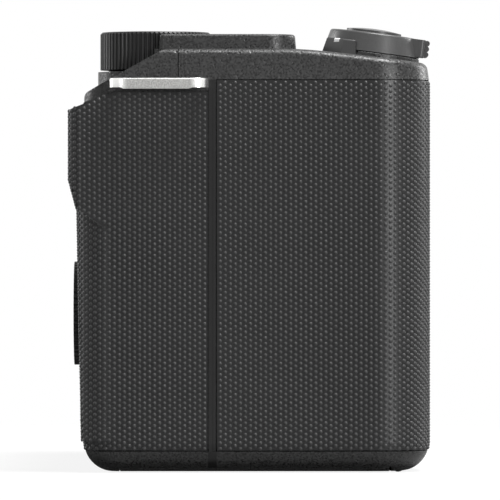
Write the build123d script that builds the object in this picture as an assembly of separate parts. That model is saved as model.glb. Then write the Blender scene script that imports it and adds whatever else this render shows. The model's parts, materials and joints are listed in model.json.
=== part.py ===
from build123d import *
import math
import os

os.makedirs("parts", exist_ok=True)

# A compact camera body for interchangeable lenses, without a lens, in millimetres.
# X runs from the grip side to the port side, Y from the lens side to the monitor side, Z up.
# Y 0 is the sensor plane, X 0 the middle of the body and Z 0 the lowest point of the base.

# Body outline, seen from above
body_width = 114.4
rear_face = 24.85
panel_face = 13.5
grip_face = 27.1
grip_front_width = 26.2
grip_root_width = 32.2
grip_front_round = 8.5
grip_inner_round = 6.0
grip_root_round = 4.0
far_front_round = 9.0
far_rear_round = 6.0
near_rear_round = 5.5

# Heights of the covers
foot_height = 0.15
skirt_top = 3.2
bottom_round = 4.4
shoulder = 59.0
deck = 63.6
deck_draft = 8.0
deck_round = 1.2
deck_slope = 6.4
deck_slope_start = -8.0
deck_bend = 60.0
deck_reach = 40.0
wall = 1.6
top_wall = 1.5

# Seams and rubber
seam = 5.5
strip_front = 5.0
strip_rear = 6.1
top_seam = 10.7
base_parting = 5.8
parting_width = 0.12
parting_depth = 0.3
rubber_proud = 0.2
rubber_thick = 0.8
rubber_end = -26.2
rubber_rear_top = 57.3

# Thumb rest on the rear, beside the grip
thumb_face = 27.1
thumb_tail_face = 25.9
thumb_tail_low_face = 25.05
thumb_low = 39.6
thumb_turn = 44.0
thumb_chin = 35.6
thumb_chin_depth = 5.6
thumb_round = 2.2
thumb_end = -40.0
thumb_slope_width = 4.0
thumb_tail_end = -50.5
thumb_crest_start = 20.1
thumb_crest_fall = 0.382
crest_round = 0.5

# Ramp that falls from the deck to the rear beside the dial
ramp_start = 12.7
ramp_fall = 0.556
ramp_round = 1.2
ramp_top_round = 4.0
ramp_strip = 3.0
ramp_lead = 8.0
ramp_drop = 6.0
ramp_clear = 5.0
ledge_rear = 22.9
ledge_drop = 3.3
deck_rear = 21.4
step_round = 0.6
rim_depth = 3.9

# Raised block that carries the shoe and the microphones
plateau_near = -15.0
plateau_far = 29.0
plateau_front = -7.0
plateau_rear = 14.35
plateau_top = 66.3
plateau_corner = 3.0
plateau_round = 0.8

# Raised island beside the dial
island_inset = 0.1
island_far = -37.0
island_front = -7.2
island_lead = 0.4
island_height = 2.25
island_draft = 5.0
island_front_corner = 4.6
island_far_corner = 3.0
island_rear_corner = 1.1
island_round = 0.45
seam_gap = 0.12

# Lens mount
lens_x = 7.0
lens_z = 31.6
flange_distance = 18.0
throat_radius = 23.05
bayonet_radius = 24.0
mount_width = 2.2
mount_thick = 2.4
mount_carrier = 1.6
mount_gap = 0.1
claw_setback = 0.2
claw_thick = 1.4
claw_angle = 58.0
bezel_width = 2.1
bezel_bevel = 0.6
bezel_skirt = 0.6
bezel_setback = 0.7
mount_screw_head = 0.9
mount_screw_shank = 0.55
mount_screw_depth = 6.0
mount_screw_sink = 0.1
mount_screw_top = 0.6
mount_screw_slot = 0.25
mount_screw_count = 4

# Lens release
release_spacing = 0.5
release_angle = -14.0
release_button_radius = 4.5
release_proud = 1.4
release_flange = 0.8
pod_radius = 6.0
pod_height = 2.1
lock_pin_radius = 0.8
lock_pin_proud = 1.0
lock_arm_thick = 0.8
lock_arm_margin = 1.5
lock_arm_drop = 3.5

# Lens contacts
contact_count = 10
contact_radius = 0.45
contact_ring = 21.0
contact_span = 44.0
contact_block_depth = 2.8
contact_block_length = 3.4
contact_lead = 0.4
contact_proud = 0.6
contact_block_span = 60.0

# Light box and sensor
baffle_wall = 0.9
baffle_bore = 22.4
baffle_back = 7.0
baffle_lip = 0.8
baffle_plate = 1.0
gate_wall = 1.0
gate_width = 27.0
gate_height = 20.0
window_thick = 1.2
window_gap = 1.2
sensor_width = 23.3
sensor_height = 15.5
sensor_thick = 0.8
carrier_width = 36.0
carrier_height = 29.0
carrier_back = 4.0
carrier_play = 0.7
ear_radius = 2.6
ear_reach = 1.5
ear_thick = 1.5
spreader_thick = 1.8
spreader_side = 2.0
spreader_rise = 6.0

# Chassis and main board
chassis_thick = 1.4
chassis_margin = 3.6
mount_post = 1.1
standoff = 1.6
board_gap = 1.8
board_thick = 1.2
board_edge = 2.0
chip_thick = 1.4

# Battery and its bay
battery_width = 22.7
battery_depth = 38.7
battery_height = 51.7
battery_round = 2.4
battery_front = -20.6
battery_bottom = 3.5
bay_clearance = 0.2
bay_wall = 0.8
bay_side_gap = 0.3
bay_head_room = 0.8
blade_pitch = 5.0
blade_thick = 0.8
blade_depth = 5.0
blade_inset = 4.1
blade_dip = 0.3
contact_margin = 2.5

# Battery door in the base
door_front = -21.0
door_rear = 19.4
door_gap = 0.15
door_swing_gap = 0.35
hinge_y = -22.4
hinge_z = 1.1
hinge_radius = 1.1
hinge_near = -50.0
hinge_far = -36.0
pin_radius = 0.5
pin_reach = 1.8
running = 0.06

# Door lock and battery catch
lock_y = 15.5
lock_width = 3.2
lock_length = 8.3
lock_start = -48.3
lock_travel = 2.0
bolt_thick = 0.8
bolt_width = 2.0
catch_y = -3.0
catch_width = 6.0
catch_length = 4.2
catch_hook = 1.0
catch_travel = 1.4

# Tripod socket
tripod_y = -2.0
tripod_bore = 3.175
tripod_depth = 5.5
tripod_radius = 5.2
tripod_height = 7.6
tripod_ring = 8.0

# Cover screws
screw_head = 1.9
screw_head_depth = 0.8
screw_shank = 0.9
screw_length = 8.0
screw_boss = 2.0
screw_rib = 1.2
screw_near = -20.0
screw_far = 46.0
screw_front = -6.4
screw_rear = 16.3

# Shutter tower on the grip
tower_x = -43.0
tower_y = -18.4
tower_tilt = 7.1
collar_radius = 7.3
collar_top = 0.75
collar_depth = 2.4
sleeve_radius = 4.95
sleeve_top = 3.43
shutter_radius = 4.15
shutter_clearance = 0.1
shutter_top = 4.5
shutter_dome = 0.35
shutter_low = -1.0
shutter_travel = 0.7
lever_top = 0.79
lever_ring = 6.3
lever_depth = 0.6
lever_gap = 0.1
lever_reach = 8.6
lever_end_reach = 7.75
lever_web_reach = 5.3
lever_web_angle = 110.0
lever_far_angle = 119.6
lever_corner_angle = 147.0
lever_end_angle = 161.5
lever_corner_round = 0.3
lever_low = 0.0
lever_high = 2.3
lever_draft = 9.0
lever_edge = 0.3
lever_turn = 30.0
collar_rest = 0.45
collar_edge = 0.2
zoom_low = 0.86
zoom_top = 3.75
zoom_radius = 7.25
zoom_top_radius = 6.55
zoom_lip = 0.25
zoom_tab_width = 6.2
zoom_tab_reach = 7.9
zoom_tab_top = 3.68
zoom_tab_lift = 0.2
zoom_edge = 0.4
zoom_tab_round = 0.6
ridge_radius = 0.42
ridge_out = 0.25
ridge_inset = 0.7
ridge_pitch = 0.85
ridge_count = 3

# Control dial on the ledge
dial_x = -44.0
dial_y = 14.2
dial_radius = 8.35
dial_lift = 0.3
dial_height = 5.7
dial_ribs = 74
rib_depth = 0.22
dial_gap = 0.45
dial_shaft = 2.0
dial_cap = 1.2
dial_bevel = 0.3
encoder_width = 10.0
encoder_height = 2.0
shaft_play = 0.2

# Round buttons in the deck
deck_button_travel = 0.5
deck_button_edge = 0.3
movie_radius = 3.0
movie_x = -31.5
movie_y = -9.5
mode_radius = 2.6
mode_x = -31.0
mode_y = 0.5
defocus_radius = 2.6
defocus_x = -42.5
defocus_y = -3.0
button_clearance = 0.12
flange_width = 0.6
flange_thick = 0.5
flange_play = 0.18
button_sink = 0.1
plunger_radius = 1.2
board_drop = 2.0
board_lead = 0.5
board_setback = 0.3
plunger_play = 0.05
top_board_thick = 0.8
board_post_radius = 1.6
board_post_front = 2.5
board_post_rear = 4.5
ledge_margin = 2.0

# Control wheel and its centre button
wheel_x = -38.0
wheel_z = 23.8
wheel_radius = 7.85
wheel_low = 23.5
wheel_face = 26.6
wheel_teeth = 48
tooth_depth = 0.3
wheel_gap = 0.35
wheel_bore = 4.55
hub_radius = 4.48
hub_face = 25.5
hub_flange = 6.0
centre_radius = 4.0
centre_face = 26.0
centre_travel = 0.4
cup_wall = 1.3

# Round buttons on the rear
rear_button_radius = 2.5
rear_button_proud = 0.3
menu_x = -27.5
menu_z = 50.0
fn_x = -27.5
fn_z = 37.0
playback_x = -31.0
delete_x = -45.0
low_button_z = 8.6

# Monitor and its hinge
monitor_near = -19.0
monitor_far = 57.0
monitor_low = 5.2
monitor_high = 56.8
monitor_thick = 5.2
monitor_face = 24.8
monitor_gap = 0.4
monitor_arm_width = 5.6
monitor_arm_gap = 0.2
monitor_corner = 2.0
glass_margin = 1.4
glass_thick = 1.3
glass_setback = 0.1
tilt_shaft = 1.2
tilt_shaft_length = 3.4
monitor_pin = 0.9
monitor_pin_reach = 1.2

# Ports, card and their doors
side_door_front = 7.2
side_door_rear = 17.4
side_door_thick = 1.4
side_door_gap = 0.15
side_pin = 0.35
side_pin_reach = 1.0
card_door_low = 5.8
card_door_high = 31.4
terminal_door_low = 32.6
terminal_door_high = 56.6
card_long = 32.0
card_wide = 24.0
card_thick = 2.1
card_z = 18.6
card_end = 55.2
slot_clearance = 0.1
slot_wall = 0.6
usb_z = 37.5
usb_wide = 9.0
usb_thick = 3.2
hdmi_z = 46.0
hdmi_wide = 6.8
hdmi_thick = 3.0
jack_z = 53.0
jack_radius = 2.9
jack_bore = 1.8
socket_depth = 7.0
socket_wall = 0.4

# Accessory shoe
shoe_x = 7.0
shoe_floor = 63.0
shoe_plate = 0.8
shoe_inside = 18.7
shoe_opening = 12.6
shoe_slot = 2.1
shoe_lip = 0.9
shoe_side = 1.2
shoe_length = 17.6
shoe_stop = 1.2
shoe_bed = 2.0
shoe_bed_side = 1.0
shoe_run_out = 3.0
shoe_strip_half = 6.0
shoe_strip_depth = 1.1
shoe_strip_height = 1.2
sync_radius = 1.9
sync_setback = 9.0
sync_proud = 0.06

# Microphones
grille_near = -13.2
grille_width = 8.0
grille_front = -5.0
grille_length = 16.6
grille_thick = 0.3
grille_hole = 0.36
grille_pitch = 1.0
capsule_radius = 2.2
capsule_height = 1.9
capsule_pitch = 5.2
capsule_drop = 0.2
grille_corner = 1.2

# Strap lugs
lug_front = 6.1
lug_rear = 20.9
lug_low = 57.7
lug_high = 59.1
lug_bar_low = 57.5
lug_reach = 61.0
lug_bar = 1.4
lug_end = 1.8
lug_inner = 0.4
lug_round = 2.2
lug_tab = 2.0
lug_tab_inset = 0.5
lug_tab_reach = 0.6
lug_slot_round = 0.9
lug_edge = 0.25
lug_bar_front = 2.0
lug_bar_rear = 1.2
lug_bar_slope = 0.9
lug_bar_overlap = 0.1

# Tally lamp
lamp_x = -17.5
lamp_z = 54.5
lamp_radius = 2.0

# How far cuts run past the faces they open
over = 1.0

near = -body_width / 2
far = body_width / 2
tall = 200.0
ledge_height = deck - ledge_drop
dial_low = ledge_height + dial_lift
dial_top = dial_low + dial_height
mount_radius = bayonet_radius + mount_width
bezel_radius = mount_radius + bezel_width
release_radius = bezel_radius + pod_radius + release_spacing


def block(x, y, z):
    """A box between the pairs x, y and z."""
    middle = [(low + high) / 2 for low, high in (x, y, z)]
    return Pos(*middle) * Box(x[1] - x[0], y[1] - y[0], z[1] - z[0])


def disc(radius, z, at):
    """A cylinder along Z between the pair z, at the point (x, y)."""
    return Pos(at[0], at[1], (z[0] + z[1]) / 2) * Cylinder(radius, z[1] - z[0])


def plug(radius, y, at):
    """A cylinder along Y between the pair y, at the point (x, z)."""
    return Pos(at[0], (y[0] + y[1]) / 2, at[1]) * Rot(90, 0, 0) * Cylinder(radius, y[1] - y[0])


def bar(radius, x, at):
    """A cylinder along X between the pair x, at the point (y, z)."""
    return Pos((x[0] + x[1]) / 2, at[0], at[1]) * Rot(0, 90, 0) * Cylinder(radius, x[1] - x[0])


def outline(*corners):
    """A face with corners (x, y, round), listed counterclockwise."""
    face = make_face(Polyline(*[(x, y) for x, y, _ in corners], close=True))
    for x, y, radius in corners:
        if radius:
            corner = face.vertices().sort_by_distance((x, y, 0))[0]
            face = fillet(corner, radius)
    return face


def side_prism(x, *corners):
    """A prism along X between the pair x, with corners (y, z, round)."""
    return Pos(x[0], 0, 0) * (Plane.YZ.location * extrude(outline(*corners), x[1] - x[0]))


def rounded_block(x, y, z, radius):
    """A box whose upright edges are rounded."""
    corners = [(x[0], y[0]), (x[1], y[0]), (x[1], y[1]), (x[0], y[1])]
    face = outline(*[(px, py, radius) for px, py in corners])
    return extrude(Pos(0, 0, z[0]) * face, z[1] - z[0])


def ribbed_disc(radius, depth, count, height):
    """A disc from Z 0 whose rim has evenly spaced ribs."""
    rim = []
    for rib in range(count):
        for share, reach in ((0.0, -depth), (0.22, 0.0), (0.60, 0.0), (0.82, -depth)):
            angle = 2 * math.pi * (rib + share) / count
            rim.append(((radius + reach) * math.cos(angle), (radius + reach) * math.sin(angle)))
    return extrude(make_face(Polyline(*rim, close=True)), height)


def around_lens(radius, angle):
    """The point (x, z) at a radius and an angle about the lens axis, seen from the front."""
    turn = math.radians(angle)
    return (lens_x + radius * math.cos(turn), lens_z + radius * math.sin(turn))


def lens_ring(inner, outer, y):
    """A ring about the lens axis between the pair y."""
    return plug(outer, y, (lens_x, lens_z)) - plug(inner, (y[0] - 1, y[1] + 1), (lens_x, lens_z))


def sector(inner, outer, y, angle, span):
    """A piece of a ring about the lens axis, centred on an angle."""
    reach = 2 * outer
    half = math.radians(span / 2)
    turn = math.radians(angle)
    wedge = [(0.0, 0.0)]
    for side in (-1, -0.5, 0, 0.5, 1):
        bend = turn + side * half
        wedge.append((reach * math.cos(bend), reach * math.sin(bend)))
    face = make_face(Polyline(*wedge, close=True))
    prism = Pos(lens_x, y[1] + 1, lens_z) * Rot(90, 0, 0) * extrude(face, y[1] - y[0] + 2)
    return lens_ring(inner, outer, y) & prism


def deck_at(y):
    """Height of the deck at a depth y."""
    fall = math.tan(math.radians(deck_slope))
    return deck - max(0.0, deck_slope_start - y) * fall


# Body forms

def body_plan(grow=0.0):
    """The body's outline from above, grown by a distance."""
    face = outline(
        (near, -grip_face, grip_front_round),
        (near + grip_front_width, -grip_face, grip_inner_round),
        (near + grip_root_width, -panel_face, grip_root_round),
        (far, -panel_face, far_front_round),
        (far, rear_face, far_rear_round),
        (near, rear_face, near_rear_round),
    )
    return offset(face, grow) if grow else face


def body_form(inset, top):
    """The body below a height, inset all round, with its rounded bottom edge."""
    low = foot_height + inset
    solid = extrude(Pos(0, 0, low) * body_plan(-inset), top - low)
    edge = solid.faces().sort_by(Axis.Z)[0].edges()
    return fillet(edge, bottom_round - inset)


def deck_profile(drop, z):
    """The side view of the deck, lowered by a drop, as a prism from z up."""
    fall = math.tan(math.radians(deck_slope))
    front = deck_slope_start - deck_reach
    return side_prism(
        (near - 5, far + 5),
        (front, z, 0),
        (deck_reach, z, 0),
        (deck_reach, deck - drop, 0),
        (deck_slope_start, deck - drop, deck_bend),
        (front, deck - drop - deck_reach * fall, 0),
    )


def upper_form():
    """The drafted body between the shoulder and the deck, with its rounded top edge."""
    solid = extrude(Pos(0, 0, shoulder) * body_plan(), deck - shoulder + 0.2, taper=deck_draft)
    solid = solid & deck_profile(0, shoulder - 5)
    rim = [e for e in solid.edges() if e.bounding_box().min.Z > shoulder + 1.5]
    return fillet(rim, deck_round)


def ramp_height(y):
    """Height of the ramp beside the dial at a depth y."""
    return deck - (y - ramp_start) * ramp_fall


def above_ramp(x):
    """What lies above the ramp, between the pair x."""
    return side_prism(
        x,
        (rear_face, ramp_height(rear_face) - ramp_drop, 0),
        (rear_face + ramp_clear, ramp_height(rear_face) - ramp_drop, 0),
        (rear_face + ramp_clear, deck + ramp_clear, 0),
        (ramp_start - ramp_lead, deck + ramp_clear, 0),
        (ramp_start - ramp_lead, deck, 0),
        (ramp_start, deck, ramp_top_round),
        (rear_face, ramp_height(rear_face), ramp_round),
    )


strip_edge = near + ramp_strip
notch_edge = dial_x + dial_radius + dial_gap
island_near = strip_edge + island_inset
island_rear = dial_y - island_lead


def ramp_cut():
    """What the ramp, the round ledge and the step along the rear edge take away."""
    beside = above_ramp((near - 5, strip_edge))
    behind = above_ramp((strip_edge - 0.01, far + 5))
    behind = behind & block((near, far + 5), (ledge_rear, tall), (0, tall))
    corner = above_ramp((strip_edge - 0.01, dial_x)) & block((near, far), (dial_y, tall), (0, tall))
    corner -= disc(ledge_rear - dial_y, (0, tall), (dial_x, dial_y))
    step = side_prism(
        (notch_edge - 0.01, far + 5),
        (deck_rear, ledge_height, step_round),
        (rear_face + ramp_clear, ledge_height, 0),
        (rear_face + ramp_clear, deck + ramp_clear, 0),
        (deck_rear - ramp_lead, deck + ramp_clear, 0),
        (deck_rear - ramp_lead, deck, 0),
        (deck_rear, deck, deck_round),
    )
    return beside + behind + corner + step


def rear_rim(z):
    """Solid bar along the rear edge between the pair z, from which the step is cut."""
    return block((near, far), (rear_face - rim_depth, rear_face), z)


def crest_height(y):
    """Height of the thumb rest's sloping top at a depth y."""
    return rubber_rear_top - (y - thumb_crest_start) * thumb_crest_fall


def thumb_form(grow, slope=0.0, raised=0.0, past=0.0):
    """The thumb rest and its tail, with faces grown by a distance.

    A slope widens its inner side, raised lifts its top, and past lets it run through its ends.
    """
    front = strip_rear - past
    face = thumb_face + grow
    pad_plan = outline(
        (near - grow, front, 0),
        (thumb_end + slope + past, front, 0),
        (thumb_end + slope + past, rear_face, 0),
        (thumb_end + past, face, 0),
        (near - grow, face, thumb_round + grow),
    )
    pad = extrude(Pos(0, 0, thumb_chin) * pad_plan, rubber_rear_top + raised - thumb_chin)
    pad = pad & side_prism(
        (near - 5, thumb_end + slope + past + 5),
        (front - 1, thumb_chin, 0),
        (thumb_tail_face - thumb_chin_depth, thumb_chin, 0),
        (thumb_tail_face + grow, thumb_low, 0),
        (face, thumb_turn, 4.0),
        (face, crest_height(face) + raised, crest_round),
        (thumb_crest_start, rubber_rear_top + raised, 0),
        (front - 1, rubber_rear_top + raised, 0),
    )
    tail_plan = outline(
        (near - grow, front, 0),
        (thumb_tail_end + past, front, 0),
        (thumb_tail_end + past, thumb_tail_face + grow, 0),
        (near - grow, thumb_tail_face + grow, near_rear_round + grow),
    )
    tail_low = skirt_top - past
    tail = extrude(Pos(0, 0, tail_low) * tail_plan, rubber_rear_top - tail_low)
    tail = tail & side_prism(
        (near - 5, thumb_tail_end + past + 5),
        (front - 1, tail_low, 0),
        (thumb_tail_low_face + grow, tail_low, 0),
        (thumb_tail_face + grow, thumb_low, 0),
        (thumb_crest_start, rubber_rear_top, 0),
        (front - 1, rubber_rear_top, 0),
    )
    return pad + tail


# Rubber

def grip_rubber_front():
    """Rubber skin from the side strip round the grip's front to the root of the mount."""
    skin = body_form(-rubber_proud, shoulder)
    core = body_form(rubber_thick - rubber_proud, shoulder + 1)
    return (skin - core) & block((near - 5, rubber_end), (-tall, strip_front), (skirt_top, shoulder))


def grip_rubber_rear():
    """Rubber skin over the side behind the strip and over the thumb rest."""
    skin = thumb_form(rubber_proud) & rounded_base(-rubber_proud)
    core = thumb_form(rubber_proud - rubber_thick, raised=5.0, past=5.0)
    return skin - (core & rounded_base(rubber_thick - rubber_proud))


def rounded_base(inset):
    """The body's rounded bottom edge, with open space all round above it."""
    above = block((near - 5, far + 5), (-tall, tall), (foot_height + bottom_round, tall))
    return body_form(inset, shoulder) + above


# Lens mount

def mount_ring():
    """Steel bayonet ring with three claws."""
    face = -flange_distance
    ring = lens_ring(bayonet_radius, mount_radius, (face, face + mount_thick))
    claw_face = face + claw_setback
    for claw in range(3):
        angle = 90 + 120 * claw
        claw_y = (claw_face, claw_face + claw_thick)
        ring += sector(throat_radius, bayonet_radius + 0.5, claw_y, angle, claw_angle)
    ring -= mount_screw_cores(mount_screw_head, mount_screw_shank)
    return ring - plug(lock_pin_radius + running, (face - 1, 0), lock_pin_at)


mount_mid = (bayonet_radius + mount_radius) / 2
lock_pin_at = around_lens(mount_mid, release_angle)
mount_back = -flange_distance + mount_thick
carrier_ring_back = mount_back + mount_carrier


def mount_screw_places():
    """The points of the mount's screws."""
    step = 360 / mount_screw_count
    return [around_lens(mount_mid, 45 + step * place) for place in range(mount_screw_count)]


def mount_screw_cores(head, shank):
    """The mount's screws as plain heads and shanks, open to the front."""
    face = -flange_distance
    seat = face + mount_screw_sink + mount_screw_top
    cores = Part()
    for at in mount_screw_places():
        cores += plug(head, (face - 1, seat), at)
        cores += plug(shank, (seat, face + mount_screw_depth), at)
    return cores


def mount_screws():
    """Four screws with cross slots, a little below the flange face."""
    top = -flange_distance + mount_screw_sink
    below = block((near, far), (top, 0), (0, tall))
    screws = mount_screw_cores(mount_screw_head, mount_screw_shank) & below
    arm = mount_screw_head * 0.6
    slot = mount_screw_slot / 2
    for x, z in mount_screw_places():
        for wide, high in ((arm, slot), (slot, arm)):
            screws -= block((x - wide, x + wide), (top - 1, top + mount_screw_top / 2), (z - high, z + high))
    return screws


def mount_bezel():
    """Painted trim ring round the mount."""
    front = -flange_distance + bezel_setback
    bore = mount_radius + mount_gap
    ring = lens_ring(bore, bezel_radius, (front, -panel_face))
    rim = ring.edges().filter_by(GeomType.CIRCLE).group_by(Axis.Y)[0]
    ring = chamfer(rim.sort_by(SortBy.RADIUS)[-1], bezel_bevel)
    skirt = lens_ring(bore, bore + bezel_skirt, (-panel_face - 0.1, -panel_face + wall))
    return ring + skirt


def lens_contact_block():
    """Curved block inside the throat that carries the lens contacts."""
    front = mount_back - contact_lead
    y = (front, front + contact_block_length)
    return sector(baffle_bore - contact_block_depth, baffle_bore, y, 90, contact_block_span)


def lens_contact_pins():
    """Row of gold contact pins."""
    front = mount_back - contact_lead
    pins = Part()
    for place in range(contact_count):
        angle = 90 + contact_span * (place / (contact_count - 1) - 0.5)
        pins += plug(contact_radius, (front - contact_proud, front), around_lens(contact_ring, angle))
    return pins


release_at = around_lens(release_radius, release_angle)
pod_face = -panel_face - pod_height
release_flange_face = -panel_face + wall + 0.1


def lens_release_button():
    """Push button beside the mount, with a flange behind the cover."""
    cap = plug(release_button_radius, (pod_face - release_proud, release_flange_face), release_at)
    rim = cap.edges().group_by(Axis.Y)[0]
    cap = fillet(rim, 0.5)
    flange_y = (release_flange_face, release_flange_face + release_flange)
    return cap + plug(release_button_radius + flange_width, flange_y, release_at)


def lens_lock_pin():
    """Pin that locks a lens, on the arm that the release button pushes."""
    arm_face = release_flange_face + release_flange
    pin = plug(lock_pin_radius, (-flange_distance - lock_pin_proud, arm_face), lock_pin_at)
    arm_x = (lock_pin_at[0] - lock_arm_margin, release_at[0])
    arm_z = (lock_pin_at[1] - lock_arm_drop, lock_pin_at[1] + lock_arm_margin)
    return pin + block(arm_x, (arm_face, arm_face + lock_arm_thick), arm_z)


def light_baffle():
    """Tube and rectangular gate between the mount and the sensor."""
    front = mount_back + 0.2
    back = -baffle_back
    outer = baffle_bore + baffle_wall
    tube = lens_ring(baffle_bore, outer, (front, back))
    lip = lens_ring(baffle_bore, mount_mid - mount_post - 0.05, (front, front + baffle_lip))
    plate = plug(outer, (back, back + baffle_plate), (lens_x, lens_z))
    gate_back = -window_gap - window_thick
    gate_box = lens_block(gate_width + 2 * gate_wall, gate_height + 2 * gate_wall, (back, gate_back))
    gate = lens_block(gate_width, gate_height, (back - 1, gate_back + 1))
    return tube + lip + plate + gate_box - gate


def lens_block(width, height, y):
    """A box centred on the lens axis between the pair y."""
    x = (lens_x - width / 2, lens_x + width / 2)
    return block(x, y, (lens_z - height / 2, lens_z + height / 2))


# Sensor and boards

def sensor_window():
    """Filter glass in front of the sensor."""
    y = (-window_gap - window_thick, -window_gap)
    return lens_block(gate_width + 2 * gate_wall, gate_height + gate_wall, y)


def image_sensor():
    """Sensor chip, its face on the sensor plane."""
    return lens_block(sensor_width, sensor_height, (0, sensor_thick))


def sensor_frame():
    """Carrier of the sensor, with a pocket and three ears."""
    frame = lens_block(carrier_width, carrier_height, (-window_gap, carrier_back))
    pocket_width = sensor_width + 2 * carrier_play
    pocket_height = sensor_height + 2 * carrier_play
    frame -= lens_block(pocket_width, pocket_height, (-window_gap - 1, sensor_thick))
    for x, z in ((-1, 0), (1, 0.7), (1, -0.7)):
        at = (lens_x + x * (carrier_width / 2 + ear_reach), lens_z + z * carrier_height / 2)
        frame += plug(ear_radius, (carrier_back - ear_thick, carrier_back), at)
    return frame


chassis_front = carrier_back + spreader_thick
chassis_back = chassis_front + chassis_thick
board_front = chassis_back + board_gap
board_back = board_front + board_thick
bay_far = near + wall + bay_side_gap + 2 * (bay_wall + bay_clearance) + battery_width


def heat_spreader():
    """Plate that carries the sensor's heat to the chassis."""
    wide = carrier_width - 2 * spreader_side
    return lens_block(wide, carrier_height + 2 * spreader_rise, (carrier_back, chassis_front))


def main_chassis():
    """Light-metal plate with the ring and posts that carry the mount."""
    y = (chassis_front, chassis_back)
    plate = block((bay_far, far - wall - chassis_margin), y, (skirt_top + 1.4, shoulder - 1.5))
    for side, height in ((-1, carrier_height * 0.5), (1, carrier_height * 0.7)):
        x = lens_x + side * carrier_width
        z = (lens_z - height / 2, lens_z + height / 2)
        plate -= block((x - carrier_width / 6, x + carrier_width / 6), (y[0] - 1, y[1] + 1), z)
    ring = lens_ring(bayonet_radius, mount_radius, (mount_back, carrier_ring_back))
    ring -= plug(lock_pin_radius + running, (mount_back - 1, 0), lock_pin_at)
    chassis = plate + ring
    for at in mount_screw_places():
        chassis += plug(mount_post, (mount_back, chassis_front), at)
    face = -flange_distance
    for at in mount_screw_places():
        chassis -= plug(mount_screw_shank, (face, face + mount_screw_depth), at)
    for x, z in standoff_places():
        chassis += plug(standoff, (chassis_back, board_front), (x, z))
    return chassis


def standoff_places():
    """The points (x, z) where the main board stands on the chassis."""
    return [(x, z) for x in (bay_far + 5, far - 12) for z in (10.0, shoulder - 6)]


def main_board():
    """Main circuit board with its chips."""
    x = (bay_far + 1, card_end - 1.2)
    z = (skirt_top + board_edge, shoulder - board_edge)
    board = block(x, (board_front, board_back), z)
    wide = x[1] - x[0]
    high = z[1] - z[0]
    for along, up, size in ((0.29, 0.68, 0.17), (0.50, 0.72, 0.13), (0.21, 0.32, 0.12), (0.48, 0.17, 0.1)):
        middle = (x[0] + along * wide, z[0] + up * high)
        half = size * wide / 2
        chip_x = (middle[0] - half, middle[0] + half)
        board += block(chip_x, (board_back, board_back + chip_thick), (middle[1] - half, middle[1] + half))
    return board


def card_slot():
    """Metal shell that holds the memory card behind the main board."""
    low = board_back
    high = low + card_thick + 2 * (slot_clearance + slot_wall)
    half = card_wide / 2 + slot_clearance
    x = (card_end - card_long - slot_wall - slot_clearance, card_end - 0.8)
    shell = block(x, (low, high), (card_z - half - slot_wall, card_z + half + slot_wall))
    hollow_x = (x[0] + slot_wall, x[1] + 1)
    return shell - block(hollow_x, (low + slot_wall, high - slot_wall), (card_z - half, card_z + half))


def memory_card():
    """Memory card with one cut corner."""
    low = board_back + slot_wall + slot_clearance
    half = card_wide / 2
    x = (card_end - card_long, card_end)
    card = block(x, (low, low + card_thick), (card_z - half, card_z + half))
    corner = Pos(x[0], low + card_thick / 2, card_z + half) * Rot(0, 45, 0) * Box(5, card_thick + 2, 5)
    return card - corner


def side_sockets():
    """Data, video and microphone sockets at the edge of the main board."""
    x = (card_end - socket_depth, card_end)
    sockets = Part()
    for z, wide, thick in ((usb_z, usb_wide, usb_thick), (hdmi_z, hdmi_wide, hdmi_thick)):
        y = (board_back, board_back + thick)
        shell = block(x, y, (z - wide / 2, z + wide / 2))
        shell = fillet(shell.edges().filter_by(Axis.X), thick * 0.3)
        inside = wide / 2 - socket_wall
        hollow_y = (y[0] + socket_wall, y[1] - socket_wall)
        hollow = block((x[0] + 1, x[1] + 1), hollow_y, (z - inside, z + inside))
        tongue_y = (y[0] + y[1]) / 2
        tongue_z = (z - wide * 0.32, z + wide * 0.32)
        tongue = block((x[0], x[1] - 0.6), (tongue_y - 0.35, tongue_y + 0.35), tongue_z)
        sockets += shell - hollow + tongue
    jack_y = board_back + jack_radius
    jack = bar(jack_radius, (x[0] - 5, x[1]), (jack_y, jack_z))
    jack -= bar(jack_bore, (x[0] - 4, x[1] + 1), (jack_y, jack_z))
    return sockets + jack


# Battery bay

bay_near = bay_far - battery_width - 2 * (bay_wall + bay_clearance)
battery_x = (bay_near + bay_wall + bay_clearance, bay_far - bay_wall - bay_clearance)
battery_y = (battery_front, battery_front + battery_depth)
battery_top = battery_bottom + battery_height
bay_ceiling = battery_top + bay_head_room


def battery():
    """Rechargeable battery with rounded long edges and three contact recesses."""
    z = (battery_bottom, battery_top)
    pack = rounded_block(battery_x, battery_y, z, battery_round)
    recess_y = (blade_y[0] - 0.5, blade_y[1] + 0.5)
    for place in contact_places():
        recess_x = (place - blade_thick, place + blade_thick)
        pack -= block(recess_x, recess_y, (battery_top - blade_dip - 0.1, battery_top + 1))
    return pack


battery_mid = (battery_x[0] + battery_x[1]) / 2
blade_y = (battery_y[1] - blade_inset - blade_depth, battery_y[1] - blade_inset)


def contact_places():
    """X of the three battery contacts."""
    return [battery_mid + side * blade_pitch for side in (-1, 0, 1)]


def battery_contacts():
    """Contact block under the bay's ceiling, with three blades."""
    half = blade_pitch + contact_margin
    y = (blade_y[0] - 1, blade_y[1] + 1)
    low = battery_top + blade_dip
    group = block((battery_mid - half, battery_mid + half), y, (low, bay_ceiling))
    for place in contact_places():
        blade_x = (place - blade_thick / 2, place + blade_thick / 2)
        group += block(blade_x, blade_y, (battery_top - blade_dip, low + 0.1))
    return group


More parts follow.
